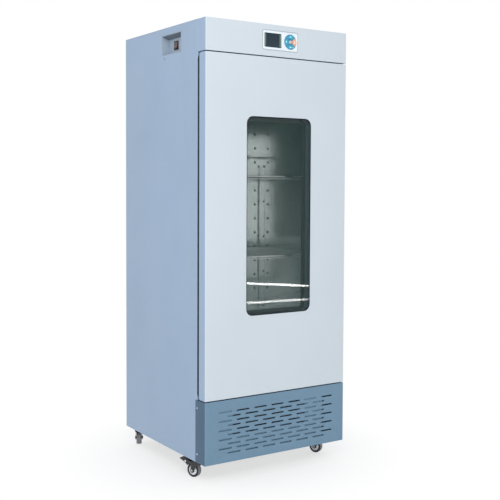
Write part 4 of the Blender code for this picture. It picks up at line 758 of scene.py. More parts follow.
def cleaned(name: str, curve: bpy.types.Object, smooth: float) -> bpy.types.Object:
    """A curve object made a mesh object, its doubles merged and its faces turned outwards.

    Args:
        name: the new object's name.
        curve: the curve object, which is removed.
        smooth: the smoothing angle in degrees.

    Returns:
        The mesh object.
    """
    made = settle(curve)
    work = bmesh.new()
    work.from_mesh(made.data)
    bpy.data.objects.remove(made)
    return from_bmesh(name, work, smooth)


def lathe(name: str, profile: Loop, place: Matrix, sides: int = 48,
          smooth: float = 35.0) -> bpy.types.Object:
    """A profile turned round its place's Z axis.

    Args:
        name: the object's name.
        profile: points of radius and height, bottom to top; it is closed on the axis or on itself.
        place: the frame of the turning.
        sides: faces round the axis.
        smooth: the smoothing angle in degrees.

    Returns:
        The closed mesh object.
    """
    work = bmesh.new()
    rings = []
    for radius, height in profile:
        count = 1 if radius == 0 else sides
        rings.append([
            work.verts.new(place @ Vector((radius * math.cos(t), radius * math.sin(t), height)))
            for t in (math.tau * n / sides for n in range(count))
        ])
    closed = profile[0][0] != 0
    for number in range(len(rings) if closed else len(rings) - 1):
        lower, upper = rings[number], rings[(number + 1) % len(rings)]
        for n in range(sides):
            quad = [lower[n % len(lower)], lower[(n + 1) % len(lower)], upper[(n + 1) % len(upper)],
                    upper[n % len(upper)]]
            work.faces.new(list(dict.fromkeys(quad)))
    return from_bmesh(name, work, smooth)


def loft(name: str, loops: Sequence[Sequence[Point]], smooth: float = 50.0,
         closed: bool = True) -> bpy.types.Object:
    """Closed loops with the same number of points, joined into a skin.

    Args:
        name: the object's name.
        loops: the loops in order.
        smooth: the smoothing angle in degrees.
        closed: whether the last loop joins the first; otherwise the end loops are filled.

    Returns:
        The closed mesh object.
    """
    work = bmesh.new()
    rings = [[work.verts.new(point) for point in loop] for loop in loops]
    count = len(rings[0])
    for number in range(len(rings) if closed else len(rings) - 1):
        lower, upper = rings[number], rings[(number + 1) % len(rings)]
        for n in range(count):
            work.faces.new((lower[n], lower[(n + 1) % count], upper[(n + 1) % count], upper[n]))
    if not closed:
        work.faces.new(rings[0])
        work.faces.new(rings[-1])
    return from_bmesh(name, work, smooth)


def plate(name: str, loops: Sequence[Loop], place: Matrix, low: float, high: float, edge: float,
          segments: int = 2) -> bpy.types.Object:
    """Flat outlines made a plate whose edges are rounded, inside the outlines and the two heights.

    Args:
        name: the object's name.
        loops: the outer outline and any holes, in the place's x and y.
        place: the plate's frame.
        low: the lower face's height in it.
        high: the upper face's height in it.
        edge: the radius of the rounded edges.
        segments: faces round an edge.

    Returns:
        The closed mesh object.
    """
    curve = bpy.data.curves.new(name, "CURVE")
    curve.dimensions = "2D"
    curve.fill_mode = "BOTH"
    curve.extrude = (high - low) / 2 - edge
    curve.bevel_depth = edge
    curve.bevel_resolution = segments - 1
    curve.offset = -edge
    for loop in loops:
        spline = curve.splines.new("POLY")
        spline.points.add(len(loop) - 1)
        spline.use_cyclic_u = True
        for point, (a, b) in zip(spline.points, loop):
            point.co = (a, b, 0, 1)
    made = linked(name, curve)
    made.matrix_world = place @ Matrix.Translation((0, 0, (low + high) / 2))
    return cleaned(name, made, 40.0)


def softened(node: str, edge: float = 0.0004, smooth: float = 20.0, corner: float = 0.0) -> bpy.types.Object:
    """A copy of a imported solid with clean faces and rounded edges.

    Args:
        node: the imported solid.
        edge: the width of its rounded edges.
        smooth: the smoothing angle in degrees.
        corner: the radius of its outer upright corners at the front, or 0 to leave them.

    Returns:
        The mesh object, in the solid's place.
    """
    work = bmesh.new()
    work.from_mesh(bpy.data.objects[node].data)
    bmesh.ops.remove_doubles(work, verts=work.verts, dist=2e-6)
    bmesh.ops.dissolve_limit(work, angle_limit=math.radians(0.5), verts=work.verts, edges=work.edges)
    if corner:
        low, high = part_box(node)
        upright = [
            line for line in work.edges if line.calc_length() > 0.05
            and all(v.co.y - low.y < NEAR and min(v.co.x - low.x, high.x - v.co.x) < NEAR
                    for v in line.verts)
        ]
        bmesh.ops.bevel(work, geom=upright, offset=corner, segments=6, profile=0.5, affect="EDGES")
    made = from_bmesh(f"{node}_dressed", work, smooth)
    bevel = made.modifiers.new("edge", "BEVEL")
    bevel.width = edge
    bevel.segments = 2
    bevel.limit_method = "ANGLE"
    bevel.angle_limit = math.radians(40)
    made = settle(made)
    made.data.materials.clear()
    made.data.shade_smooth()
    made.data.set_sharp_from_angle(angle=math.radians(smooth))
    return made


def joined(name: str, pieces: Sequence[bpy.types.Object]) -> bpy.types.Object:
    """Several mesh objects of one finish made one.

    Args:
        name: the new object's name.
        pieces: the objects, which are removed.

    Returns:
        The mesh object.
    """
    work = bmesh.new()
    for piece in pieces:
        work.from_mesh(piece.data)
        bpy.data.objects.remove(piece)
    mesh = bpy.data.meshes.new(name)
    work.to_mesh(mesh)
    work.free()
    return linked(name, mesh)


def tube(name: str, points: Sequence[Point], radius: float, closed: bool = False,
         sides: int = 3) -> bpy.types.Object:
    """A round wire or pipe through the points, with smooth sides.

    Args:
        name: the object's name.
        points: the points along its middle.
        radius: its radius.
        closed: whether its end joins its start.
        sides: how finely it is rounded.

    Returns:
        The mesh object.
    """
    curve = bpy.data.curves.new(name, "CURVE")
    curve.dimensions = "3D"
    curve.bevel_depth = radius
    curve.bevel_resolution = sides
    curve.use_fill_caps = True
    spline = curve.splines.new("POLY")
    spline.points.add(len(points) - 1)
    spline.use_cyclic_u = closed
    for point, place in zip(spline.points, points):
        point.co = (*place, 1)
    return cleaned(name, linked(name, curve), 60.0)


def arc(a: float, b: float, radius: float, start: float, end: float, steps: int = 6) -> Loop:
    """Points on an arc, its ends included, between two angles in quarter turns."""
    angles = [math.pi / 2 * (start + (end - start) * n / steps) for n in range(steps + 1)]
    return [(a + radius * math.cos(t), b + radius * math.sin(t)) for t in angles]


def rounded(a0: float, b0: float, a1: float, b1: float, radius: float, steps: int = 6) -> Loop:
    """The outline of a rectangle with round corners.

    Args:
        a0: the left edge.
        b0: the lower edge.
        a1: the right edge.
        b1: the upper edge.
        radius: the corners' radius.
        steps: the steps round each corner.

    Returns:
        The outline, anticlockwise.
    """
    r = radius
    return (arc(a0 + r, b0 + r, r, 2, 3, steps) + arc(a1 - r, b0 + r, r, 3, 4, steps)
            + arc(a1 - r, b1 - r, r, 0, 1, steps) + arc(a0 + r, b1 - r, r, 1, 2, steps))


class Shape(Enum):
    """What a Repeater sets at each of its places."""

    SCREW = "screw"
    RIM = "rim"
    RING = "ring"
    ROD = "rod"
    FIN = "fin"


class Repeater:
    """One small shape set at many places by a Geometry Nodes tree."""

    trees: dict[Shape, bpy.types.NodeTree] = {}
    head_sides: int = 16
    ring_sides: int = 20
    rod_sides: int = 12
    wire_sides: int = 6
    end_steps: int = 4
    end_share: float = 0.4999
    crown: float = 0.72
    recess_length: float = 0.5
    recess_width: float = 0.13
    recess_lift: float = 1.45

    def __init__(self, shape: Shape, width: float, height: float, depth: float) -> None:
        """Choose the shape and its sizes.

        Args:
            shape: the form to repeat.
            width: its diameter, or its size along its own x.
            height: its size along its own y, or a rod's length.
            depth: a head's thickness, a rim's wire or a fin's size along its own z.
        """
        self.shape = shape
        self.sizes = {"Width": width, "Height": height, "Depth": depth}

    def tree(self) -> bpy.types.NodeTree:
        """The tree for this shape, built once.

        Returns:
            The node tree.
        """
        if self.shape not in self.trees:
            self.trees[self.shape] = self._build()
        return self.trees[self.shape]

    def _build(self) -> bpy.types.NodeTree:
        """Points to instances to one real mesh with its material.

        Returns:
            The node tree.
        """
        tree = bpy.data.node_groups.new(f"repeat_{self.shape.value}", "GeometryNodeTree")
        tree.interface.new_socket("Places", in_out="INPUT", socket_type="NodeSocketGeometry")
        for label in self.sizes:
            tree.interface.new_socket(label, in_out="INPUT", socket_type="NodeSocketFloat")
        tree.interface.new_socket("Finish", in_out="INPUT", socket_type="NodeSocketMaterial")
        tree.interface.new_socket("Mesh", in_out="OUTPUT", socket_type="NodeSocketGeometry")
        work = Tree(tree)
        get, give = work.add("NodeGroupInput"), work.add("NodeGroupOutput")
        width, height, depth = (get.outputs[label] for label in self.sizes)
        drawn = {Shape.SCREW: self._screw, Shape.RIM: self._rim, Shape.RING: self._ring,
                 Shape.ROD: self._rod, Shape.FIN: self._fin}
        form = drawn[self.shape](work, width, height, depth)
        points = work.add("GeometryNodeMeshToPoints", None, Mesh=get.outputs["Places"])
        turn = work.add("GeometryNodeInputNamedAttribute", {"data_type": "FLOAT_VECTOR"}, Name="turn")
        turned = work.add("FunctionNodeEulerToRotation", None, Euler=turn.outputs["Attribute"])
        many = work.add("GeometryNodeInstanceOnPoints", None, Points=points.outputs[0], Instance=form,
                        Rotation=turned.outputs[0])
        real = work.add("GeometryNodeRealizeInstances", None, Geometry=many.outputs[0])
        last = work.add("GeometryNodeSetMaterial", None, Geometry=real.outputs[0],
                        Material=get.outputs["Finish"])
        work.feed(give, "Mesh", last.outputs[0])
        return tree

    def _screw(self, work: Tree, width: Value, height: Value, depth: Value) -> bpy.types.NodeSocket:
        """A low round head with a cross recess, standing on its place.

        Args:
            work: the tree to draw in.
            width: the form's width.
            height: its height; not used.
            depth: its depth.

        Returns:
            The form's geometry.
        """
        radius = work.maths("MULTIPLY", width, 0.5)
        crown = work.maths("MULTIPLY", radius, self.crown)
        head = work.add("GeometryNodeMeshCone", None, Vertices=self.head_sides, Radius_Top=crown,
                        Radius_Bottom=radius, Depth=depth)
        long = work.maths("MULTIPLY", width, self.recess_length)
        short = work.maths("MULTIPLY", width, self.recess_width)
        twice = work.maths("MULTIPLY", depth, 2.0)
        rise = work.maths("MULTIPLY", depth, self.recess_lift)
        slots = []
        for x, y in ((long, short), (short, long)):
            size = work.add("ShaderNodeCombineXYZ", None, X=x, Y=y, Z=twice)
            block = work.add("GeometryNodeMeshCube", None, Size=size.outputs[0])
            lift = work.add("ShaderNodeCombineXYZ", None, X=0.0, Y=0.0, Z=rise)
            slots.append(work.add("GeometryNodeTransform", None, Geometry=block.outputs["Mesh"],
                                  Translation=lift.outputs[0]).outputs[0])
        cross = work.add("GeometryNodeMeshBoolean", {"operation": "DIFFERENCE", "solver": "EXACT"})
        work.feed(cross, "#0", head.outputs["Mesh"])
        for socket in slots:
            work.feed(cross, "#1", socket)
        return cross.outputs[0]

    def _rim(self, work: Tree, width: Value, height: Value, depth: Value) -> bpy.types.NodeSocket:
        """A wire round a slot with round ends.

        Args:
            work: the tree to draw in.
            width: the form's width.
            height: its height.
            depth: its depth.

        Returns:
            The form's geometry.
        """
        outline = work.add("GeometryNodeCurvePrimitiveQuadrilateral", None, Width=width, Height=height)
        radius = work.maths("MULTIPLY", height, self.end_share)
        fillet = work.add("GeometryNodeFilletCurve", {"mode": "POLY"}, Curve=outline.outputs[0],
                          Radius=radius, Count=self.end_steps)
        return self._wire(work, fillet.outputs[0], depth)

    def _ring(self, work: Tree, width: Value, height: Value, depth: Value) -> bpy.types.NodeSocket:
        """A wire ring.

        Args:
            work: the tree to draw in.
            width: the form's width.
            height: its height; not used.
            depth: its depth.

        Returns:
            The form's geometry.
        """
        radius = work.maths("MULTIPLY", width, 0.5)
        outline = work.add("GeometryNodeCurvePrimitiveCircle", None, Resolution=self.ring_sides,
                           Radius=radius)
        return self._wire(work, outline.outputs[0], depth)

    def _wire(self, work: Tree, path: Value, depth: Value) -> bpy.types.NodeSocket:
        """A round wire along a path.

        Args:
            work: the tree to draw in.
            path: the curve to follow.
            depth: the wire's radius.

        Returns:
            The wire's geometry.
        """
        wire = work.add("GeometryNodeCurvePrimitiveCircle", None, Resolution=self.wire_sides, Radius=depth)
        swept = work.add("GeometryNodeCurveToMesh", None, Curve=path, Profile_Curve=wire.outputs[0])
        return swept.outputs[0]

    def _rod(self, work: Tree, width: Value, height: Value, depth: Value) -> bpy.types.NodeSocket:
        """A round rod along its own z, centred on its place."""
        radius = work.maths("MULTIPLY", width, 0.5)
        rod = work.add("GeometryNodeMeshCylinder", None, Vertices=self.rod_sides, Radius=radius,
                       Depth=height)
        return rod.outputs["Mesh"]

    def _fin(self, work: Tree, width: Value, height: Value, depth: Value) -> bpy.types.NodeSocket:
        """A thin block, centred on its place."""
        size = work.add("ShaderNodeCombineXYZ", None, X=width, Y=height, Z=depth)
        return work.add("GeometryNodeMeshCube", None, Size=size.outputs[0]).outputs["Mesh"]

    def make(self, name: str, places: Places, finish: bpy.types.Material) -> bpy.types.Object:
        """Set the shape at every place.

        Args:
            name: the object's name.
            places: each place's point, and its turn about x, y and z.
            finish: the shape's material.

        Returns:
            One plain mesh object with every copy in it.
        """
        mesh = bpy.data.meshes.new(f"{name}_places")
        mesh.from_pydata([tuple(point) for point, _ in places], [], [])
        turn = mesh.attributes.new("turn", "FLOAT_VECTOR", "POINT")
        turn.data.foreach_set("vector", [float(part) for _, angles in places for part in angles])
        made = linked(name, mesh)
        tree = self.tree()
        step = made.modifiers.new("repeat", "NODES")
        step.node_group = tree
        values = {**self.sizes, "Finish": finish}
        for item in tree.interface.items_tree:
            if item.in_out == "INPUT" and item.name in values:
                step[item.identifier] = values[item.name]
        made = settle(made)
        made.data.shade_smooth()
        made.data.set_sharp_from_angle(angle=math.radians(40))
        return made


# Putting pieces on the model

class Dresser:
    """Gives pieces their finish and body, and reports each one."""

    def __init__(self, palette: Palette, frame: dict[str, Any]) -> None:
        """Keep the palette, and the frame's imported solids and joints."""
        self.palette = palette
        self.nodes = frame["nodes"]
        self.joints = {joint["name"]: joint for joint in frame["joints"]}

    def axle(self, name: str) -> Matrix:
        """A frame at a joint, whose z is the joint's axis."""
        turn = Vector(self.joints[name]["axis"]).normalized().to_track_quat("Z", "X")
        return Matrix.Translation(self.joints[name]["pos_m"]) @ turn.to_matrix().to_4x4()

    def coat(self, finish: Finish, *nodes: str) -> None:
        """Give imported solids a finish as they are.

        Args:
            finish: the finish.
            nodes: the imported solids.
        """
        for node in nodes:
            mesh = self.nodes[node].data
            mesh.materials.clear()
            mesh.materials.append(self.palette.get(finish))
            LOG.info("%s: %s", node, finish.name)

    def place(self, made: bpy.types.Object, finish: Finish | None, body: str, slot: str,
              *nodes: str) -> None:
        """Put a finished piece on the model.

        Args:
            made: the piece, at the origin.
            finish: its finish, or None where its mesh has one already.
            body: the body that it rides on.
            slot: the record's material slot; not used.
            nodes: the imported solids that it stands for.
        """
        if finish is not None:
            made.data.materials.clear()
            made.data.materials.append(self.palette.get(finish))
        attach(made, body)
        if nodes:
            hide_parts(*nodes)
        LOG.info("%s: %d faces on %s", made.name, len(made.data.polygons), body)

    def soften(self, finish: Finish, body: str, slot: str, *nodes: str, edge: float = 0.0004,
               corner: float = 0.0) -> None:
        """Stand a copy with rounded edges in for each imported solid."""
        for node in nodes:
            self.place(softened(node, edge, corner=corner), finish, body, slot, node)

    def repeat(self, name: str, kind: Repeater, places: Places, finish: Finish, body: str, slot: str,
               *nodes: str) -> None:
        """Set a repeated shape on a body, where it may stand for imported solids."""
        self.place(kind.make(name, places, self.palette.get(finish)), None, body, slot, *nodes)


# The cabinet's pieces

FRONT_FRAME = Matrix(((1, 0, 0, 0), (0, 0, -1, 0), (0, 1, 0, 0), (0, 0, 0, 1)))


def front_at(y: float) -> Matrix:
    """A frame whose x and y are the front's x and z, and whose z comes out of the front at this y."""
    return Matrix.Translation((0, y, 0)) @ FRONT_FRAME


def both_ends(name: str, profile: Loop, place: Matrix, sides: int, smooth: float) -> bpy.types.Object:
    """The same turned head on both ends of an axle.

    Args:
        name: the object's name.
        profile: the head's points of radius and height, its heights measured from the axle's middle.
        place: the axle's frame, with z along it.
        sides: faces round the axis.
        smooth: the smoothing angle in degrees.

    Returns:
        The two heads as one mesh object.
    """
    back = place @ Matrix.Rotation(math.pi, 4, "X")
    return joined(name, [lathe("head", profile, end, sides, smooth) for end in (place, back)])


@dataclass
class Assembly:
    """A part of the incubator, with the dresser that puts its pieces on the model."""

    dresser: Dresser


@dataclass
class Casing(Assembly):
    """The painted sheet steel round the cabinet, with the screw in its left side."""

    screw_width: float = 0.008
    screw_head: float = 0.0022
    side_screw: Point = (-0.3, -0.0143, 1.482)

    def dress(self) -> None:
        """Paint the panels and set the screw in the side."""
        self.dresser.coat(Palette.BLUE, "top_panel", "back_panel", "breaker_frame", "front_sill")
        self.dresser.soften(Palette.BLUE, "cabinet", "blue_paint", "side_panel_left", "side_panel_right",
                            edge=0.0003, corner=0.0016)
        self.dresser.coat(Palette.GALVANISED, "base_pan")
        self.dresser.soften(Palette.WHITE, "cabinet", "white_paint", "header_fascia", edge=0.0005,
                            corner=0.0034)
        kind = Repeater(Shape.SCREW, self.screw_width, 0.0, self.screw_head)
        self.dresser.repeat("casing_screw", kind, [(self.side_screw, Facing.LEFT.value)], Palette.GREY,
                            "cabinet", "grey_plastic")


@dataclass
class GrilleCover(Assembly):
    """The slotted cover under the door, with a rolled rim round each slot."""

    slot_length: float = 0.053
    slot_height: float = 0.005
    pitch: float = 0.073
    row_pitch: float = 0.016
    rows: int = 10
    long_row: int = 7
    top_row: float = 0.247
    rim: float = 0.0003
    sheet: float = 0.0012
    screw_width: float = 0.008
    screw_head: float = 0.0022
    screw_y: float = -0.2583
    screw_heights: tuple[float, float] = (0.261, 0.100)
    guide_gap: float = 0.0003
    guide_sheet: float = 0.0008
    guide_edge: float = 0.0002
    guide_corner: float = 0.004
    guide_lean: float = 0.02
    guide_box: tuple[float, float, float, float] = (-0.262, 0.086, 0.262, 0.272)
    main_opening: tuple[float, float, float, float] = (-0.187, 0.1595, 0.1225, 0.262)
    side_opening: tuple[float, float, float, float] = (0.202, 0.108, 0.252, 0.262)

    def places(self) -> Places:
        """Where each slot is, in staggered rows.

        Returns:
            Each slot's middle and its turn.
        """
        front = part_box("grille_cover")[0].y
        places = []
        for row in range(self.rows):
            slots = self.long_row - row % 2
            for n in range(slots):
                x = (n - (slots - 1) / 2) * self.pitch
                places.append(((x, front, self.top_row - row * self.row_pitch), Facing.FRONT.value))
        return places

    def dress(self) -> None:
        """Paint the cover, and set the rims and the side screws."""
        self.dresser.soften(Palette.GRILLE, "cabinet", "grille_paint", "grille_cover", edge=0.00035,
                            corner=0.002)
        rims = Repeater(Shape.RIM, self.slot_length + self.rim, self.slot_height + self.rim, self.rim)
        self.dresser.repeat("grille_slot_rims", rims, self.places(), Palette.GRILLE, "cabinet",
                            "grille_paint")
        self.air_guide()
        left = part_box("grille_cover")[0].x
        screws = [((left, self.screw_y, z), Facing.LEFT.value) for z in self.screw_heights]
        kind = Repeater(Shape.SCREW, self.screw_width, 0.0, self.screw_head)
        self.dresser.repeat("grille_screws", kind, screws, Palette.BLUE, "cabinet", "blue_paint")

    def air_guide(self) -> None:
        """The sheet behind the slots, leaning, and open before the condenser and at the right."""
        top = self.guide_box[3]
        loops = [rounded(*self.guide_box, self.guide_corner)]
        loops += [rounded(*opening, self.guide_corner)[::-1]
                  for opening in (self.main_opening, self.side_opening)]
        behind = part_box("grille_cover")[0].y + self.sheet + self.guide_gap
        place = front_at(behind) @ Matrix.Translation((0, top, 0)) @ Matrix.Rotation(self.guide_lean, 4, "X")
        place = place @ Matrix.Translation((0, -top, 0))
        made = plate("air_guide", loops, place, -self.guide_sheet, 0.0, self.guide_edge, 1)
        self.dresser.place(made, Palette.GUIDE, "cabinet", "grille_paint")


@dataclass
class ControlPanel(Assembly):
    """The white bezel in the header, with a liquid crystal screen and a round keypad."""

    corner: float = 0.005
    bezel_edge: float = 0.0009
    screen_corner: float = 0.004
    screen_margin: float = 0.0035
    window_margin: float = 0.004
    trim: float = 0.0028
    trim_overlap: float = 0.0002
    trim_height: float = 0.0004
    key_spacing: float = 0.0008
    ring_inner: float = 0.0096
    ring_outer: float = 0.0255
    orange_half: float = math.radians(36)
    teal_split: float = math.radians(135)
    centre_radius: float = 0.006
    crown: float = 0.0007
    relief: float = 0.0003
    well_gap: float = 0.0009
    floor_reach: float = 0.0012
    floor_sheet: float = 0.001
    collar_height: float = 0.0070
    collar: tuple[float, float] = (0.0006, 0.0028)
    mark_size: float = 0.0040
    mark_edge: float = 0.00008
    lamp_angle: float = math.radians(-58)
    lamp_inset: float = 0.0035
    lamp_radius: float = 0.0013

    def dress(self) -> None:
        """Build the bezel, the screen and the keypad."""
        self.bezel()
        self.keypad_floor()
        self.shadow_trim()
        self.screen()
        orange, teal = self.orange_half, self.teal_split
        self.ring_key("right", -orange, orange, Palette.ORANGE, "orange_key")
        self.ring_key("up", orange, teal, Palette.TEAL, "teal_key")
        self.ring_key("left", teal, math.tau - teal, Palette.TEAL, "teal_key")
        self.ring_key("down", math.tau - teal, math.tau - orange, Palette.TEAL, "teal_key")
        self.centre_key()
        self.marks()
        self.lamp()

    def pad(self) -> tuple[float, float]:
        """The keypad's centre, in x and z."""
        low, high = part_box("key_centre")
        return (low.x + high.x) / 2, (low.z + high.z) / 2

    def bezel(self) -> None:
        """The bezel with its two openings."""
        low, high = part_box("control_bezel")
        outline = rounded(low.x, low.z, high.x, high.z, self.corner)
        a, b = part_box("display_module")
        m = self.window_margin
        window = rounded(a.x + m, a.z + m, b.x - m, b.z - m, self.screen_corner)[::-1]
        well = self.circle(self.ring_outer + self.well_gap, 48)[::-1]
        made = plate("bezel", [outline, window, well], front_at(high.y), 0.0, high.y - low.y,
                     self.bezel_edge, 3)
        self.dresser.place(made, Palette.BEZEL, "cabinet", "white_plastic", "control_bezel")

    def keypad_floor(self) -> None:
        """The floor under the keys, with a collar round the centre key."""
        reach, base, top = self.ring_outer + self.floor_reach, self.floor_sheet, self.collar_height
        inner, outer = (self.centre_radius + gap for gap in self.collar)
        profile = [(0, 0.0), (reach, 0.0), (reach, base), (outer, base), (outer, top - 0.0004),
                   (outer - 0.0006, top), (inner, top), (inner, base), (0, base)]
        place = front_at(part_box("control_bezel")[1].y - base) @ Matrix.Translation((*self.pad(), 0))
        self.dresser.place(lathe("keypad_floor", profile, place, 40), Palette.TEAL, "cabinet", "teal_key")

    def shadow_trim(self) -> None:
        """The line of shadow round the bezel."""
        low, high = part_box("control_bezel")
        t, o = self.trim, self.trim_overlap
        outer = rounded(low.x - t, low.z - t, high.x + t, high.z + t, self.corner + t)
        inner = rounded(low.x + o, low.z + o, high.x - o, high.z - o, self.corner)[::-1]
        place = front_at(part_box("header_fascia")[0].y)
        made = plate("bezel_shadow_trim", [outer, inner], place, -o, self.trim_height, 0.00015, 1)
        self.dresser.place(made, Palette.TRIM, "cabinet", "grey_plastic")

    def circle(self, radius: float, sides: int) -> Loop:
        """A circle round the keypad's centre.

        Args:
            radius: its radius.
            sides: how many points it has.

        Returns:
            The outline.
        """
        x, z = self.pad()
        turns = [math.tau * n / sides for n in range(sides)]
        return [(x + radius * math.cos(t), z + radius * math.sin(t)) for t in turns]

    def screen(self) -> None:
        """The display behind the bezel's window."""
        a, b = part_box("display_module")
        m = self.screen_margin
        loop = rounded(a.x + m, a.z + m, b.x - m, b.z - m, self.screen_corner)
        middle = ((a.x + b.x) / 2, a.y, (a.z + b.z) / 2)
        finish = Display("liquid_crystal", middle, (b.x - a.x) / 2 - m, (b.z - a.z) / 2 - m)
        made = plate("display", [loop], front_at(a.y), -(b.y - a.y), 0.0, 0.0003)
        self.dresser.place(made, finish, "cabinet", "screen", "display_module")

    def ring_key(self, name: str, start: float, end: float, finish: Finish, slot: str) -> None:
        """One crowned sector of the keypad's ring.

        Args:
            name: which way the key is for.
            start: the angle of its first edge.
            end: the angle of its second edge.
            finish: the key's finish.
            slot: the record's slot.
        """
        node = f"key_{name}"
        low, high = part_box(node)
        x, z = self.pad()
        loops = []
        depth = high.y - low.y - self.relief
        for inset, height in ((0.0, 0.0), (0.0, depth - self.crown), (0.0003, depth - 0.0003),
                              (0.0009, depth)):
            inner, outer = self.ring_inner + inset, self.ring_outer - inset
            gap = self.key_spacing / 2 + inset
            loop = []
            for radius, way in ((inner, 1), (outer, -1)):
                slack = math.asin(gap / radius)
                for n in range(13):
                    share = n / 12 if way == 1 else 1 - n / 12
                    angle = start + slack + (end - start - 2 * slack) * share
                    loop.append((x + radius * math.cos(angle), high.y - height,
                                 z + radius * math.sin(angle)))
            loops.append(loop)
        self.dresser.place(loft(f"{node}_dressed", loops, 40.0, False), finish, f"{name}_key", slot, node)

    def centre_key(self) -> None:
        """The domed key in the middle."""
        low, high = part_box("key_centre")
        depth, r = high.y - low.y, self.centre_radius
        profile = [(0, 0.0), (r, 0.0), (r, depth - 0.0012), (r - 0.0004, depth - 0.0005),
                   (r - 0.0014, depth - 0.0001), (0, depth)]
        place = front_at(high.y) @ Matrix.Translation((*self.pad(), 0))
        made = lathe("key_centre_dressed", profile, place, 32, 50.0)
        self.dresser.place(made, Palette.SILVER, "centre_key", "silver_key", "key_centre")

    def marks(self) -> None:
        """An arrow with a painted glow on each teal key, and a cream one with a painted glow on the orange
        key.
        """
        place = front_at(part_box("key_up")[0].y + self.relief)
        x, z = self.pad()
        reach = (self.ring_inner + self.ring_outer) / 2
        size = self.mark_size
        tip, heel, side = size * 0.1, -size * 0.55, size * 0.95
        arrow = [(size, 0.0), (tip, side), (heel, side), (0.0, 0.0), (heel, -side), (tip, -side)]
        rows = (("up", 1, Palette.CYAN_PAINTED_GLOW, "teal_key"), ("left", 2, Palette.CYAN_PAINTED_GLOW, "teal_key"),
                ("down", -1, Palette.CYAN_PAINTED_GLOW, "teal_key"), ("right", 0, Palette.CREAM_PAINTED_GLOW, "orange_key"))
        for name, quarters, finish, slot in rows:
            c, s = math.cos(math.pi / 2 * quarters), math.sin(math.pi / 2 * quarters)
            loop = [(x + (reach + a) * c - b * s, z + (reach + a) * s + b * c) for a, b in arrow]
            made = plate(f"{name}_mark", [loop], place, 0.0, self.relief, self.mark_edge, 1)
            self.dresser.place(made, finish, f"{name}_key", slot)

    def lamp(self) -> None:
        """The small lamp on the lower key."""
        x, z = self.pad()
        reach, r = self.ring_outer - self.lamp_inset, self.lamp_radius
        spot = (x + reach * math.cos(self.lamp_angle), z + reach * math.sin(self.lamp_angle), 0)
        profile = [(0, 0.0), (r, 0.0), (r - 0.0003, self.relief * 0.8), (0, self.relief)]
        place = front_at(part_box("key_up")[0].y + self.relief) @ Matrix.Translation(spot)
        self.dresser.place(lathe("keypad_lamp", profile, place, 16, 60.0), Palette.LED, "down_key",
                           "white_plastic")


@dataclass
class Door(Assembly):
    """The door: its skin, its window with two panes, its liner, its seal and its hinges."""

    window: tuple[float, float, float, float] = (-0.1355, 0.572, 0.1395, 1.268)
    window_corner: float = 0.025
    gasket_width: float = 0.014
    gasket_corner: float = 0.020
    gasket_lip: float = 0.0196
    gasket_fold: float = 0.0016

    def outline(self, grow: float, y: float) -> list[Point]:
        """The window's outline, grown, at this depth.

        Args:
            grow: how far it stands outside the opening.
            y: its depth.

        Returns:
            Its points.
        """
        x0, z0, x1, z1 = self.window
        loop = rounded(x0 - grow, z0 - grow, x1 + grow, z1 + grow, self.window_corner + grow, 10)
        return [(x, y, z) for x, z in loop]

    def dress(self) -> None:
        """Dress the door's pieces."""
        self.dresser.soften(Palette.WHITE, "door", "white_paint", "door_skin", edge=0.0005, corner=0.0040)
        self.dresser.coat(Palette.LINER, "door_liner")
        self.dresser.coat(Palette.OUTER, "outer_glass")
        self.dresser.coat(Palette.INNER, "inner_glass")
        self.dresser.soften(Palette.BLACK, "door", "black_plastic", "inner_frame", edge=0.0006)
        self.dresser.soften(Palette.GALVANISED, "cabinet", "galvanised_steel", "hinge_bracket_top",
                            "hinge_bracket_bottom", edge=0.0003)
        self.seal()
        self.gasket()

    def seal(self) -> None:
        """The rubber bead round the window, with its flange under the skin."""
        low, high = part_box("window_seal")
        front, rear = low.y, high.y
        profile = [(-0.0003, front + 0.0008), (-0.0004, front - 0.0002), (-0.0010, front - 0.0007),
                   (-0.0020, front - 0.0007), (-0.0027, front - 0.0001), (-0.0030, front + 0.0009),
                   (-0.0030, rear), (0.008, rear), (0.008, front + 0.0015), (-0.0003, front + 0.0015)]
        made = loft("window_seal_dressed", [self.outline(grow, y) for grow, y in profile], 40.0)
        self.dresser.place(made, Palette.RUBBER, "door", "rubber", "window_seal")

    def gasket(self) -> None:
        """The magnetic seal: a soft folded tube, and a lip that fills the gap round the door."""
        low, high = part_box("door_gasket")
        w, lip, fold = self.gasket_width, self.gasket_lip, self.gasket_fold
        profile = [(0, 0), (0, 0.10), (lip, 0.14), (lip, 0.92), (0, 0.96), (-0.0015, 1.0),
                   (-w + 0.0015, 1.0), (-w, 0.86), (-w, 0.47), (-w + fold, 0.36), (-w, 0.25), (-w, 0)]
        loops = []
        for grow, share in profile:
            inward = min(grow, 0.0)
            loop = rounded(low.x - grow, low.z - grow, high.x + inward, high.z + grow,
                           self.gasket_corner + inward)
            loops.append([(x, low.y + (high.y - low.y) * share, z) for x, z in loop])
        self.dresser.place(loft("door_gasket_dressed", loops, 30.0), Palette.RUBBER, "door", "rubber",
                           "door_gasket")


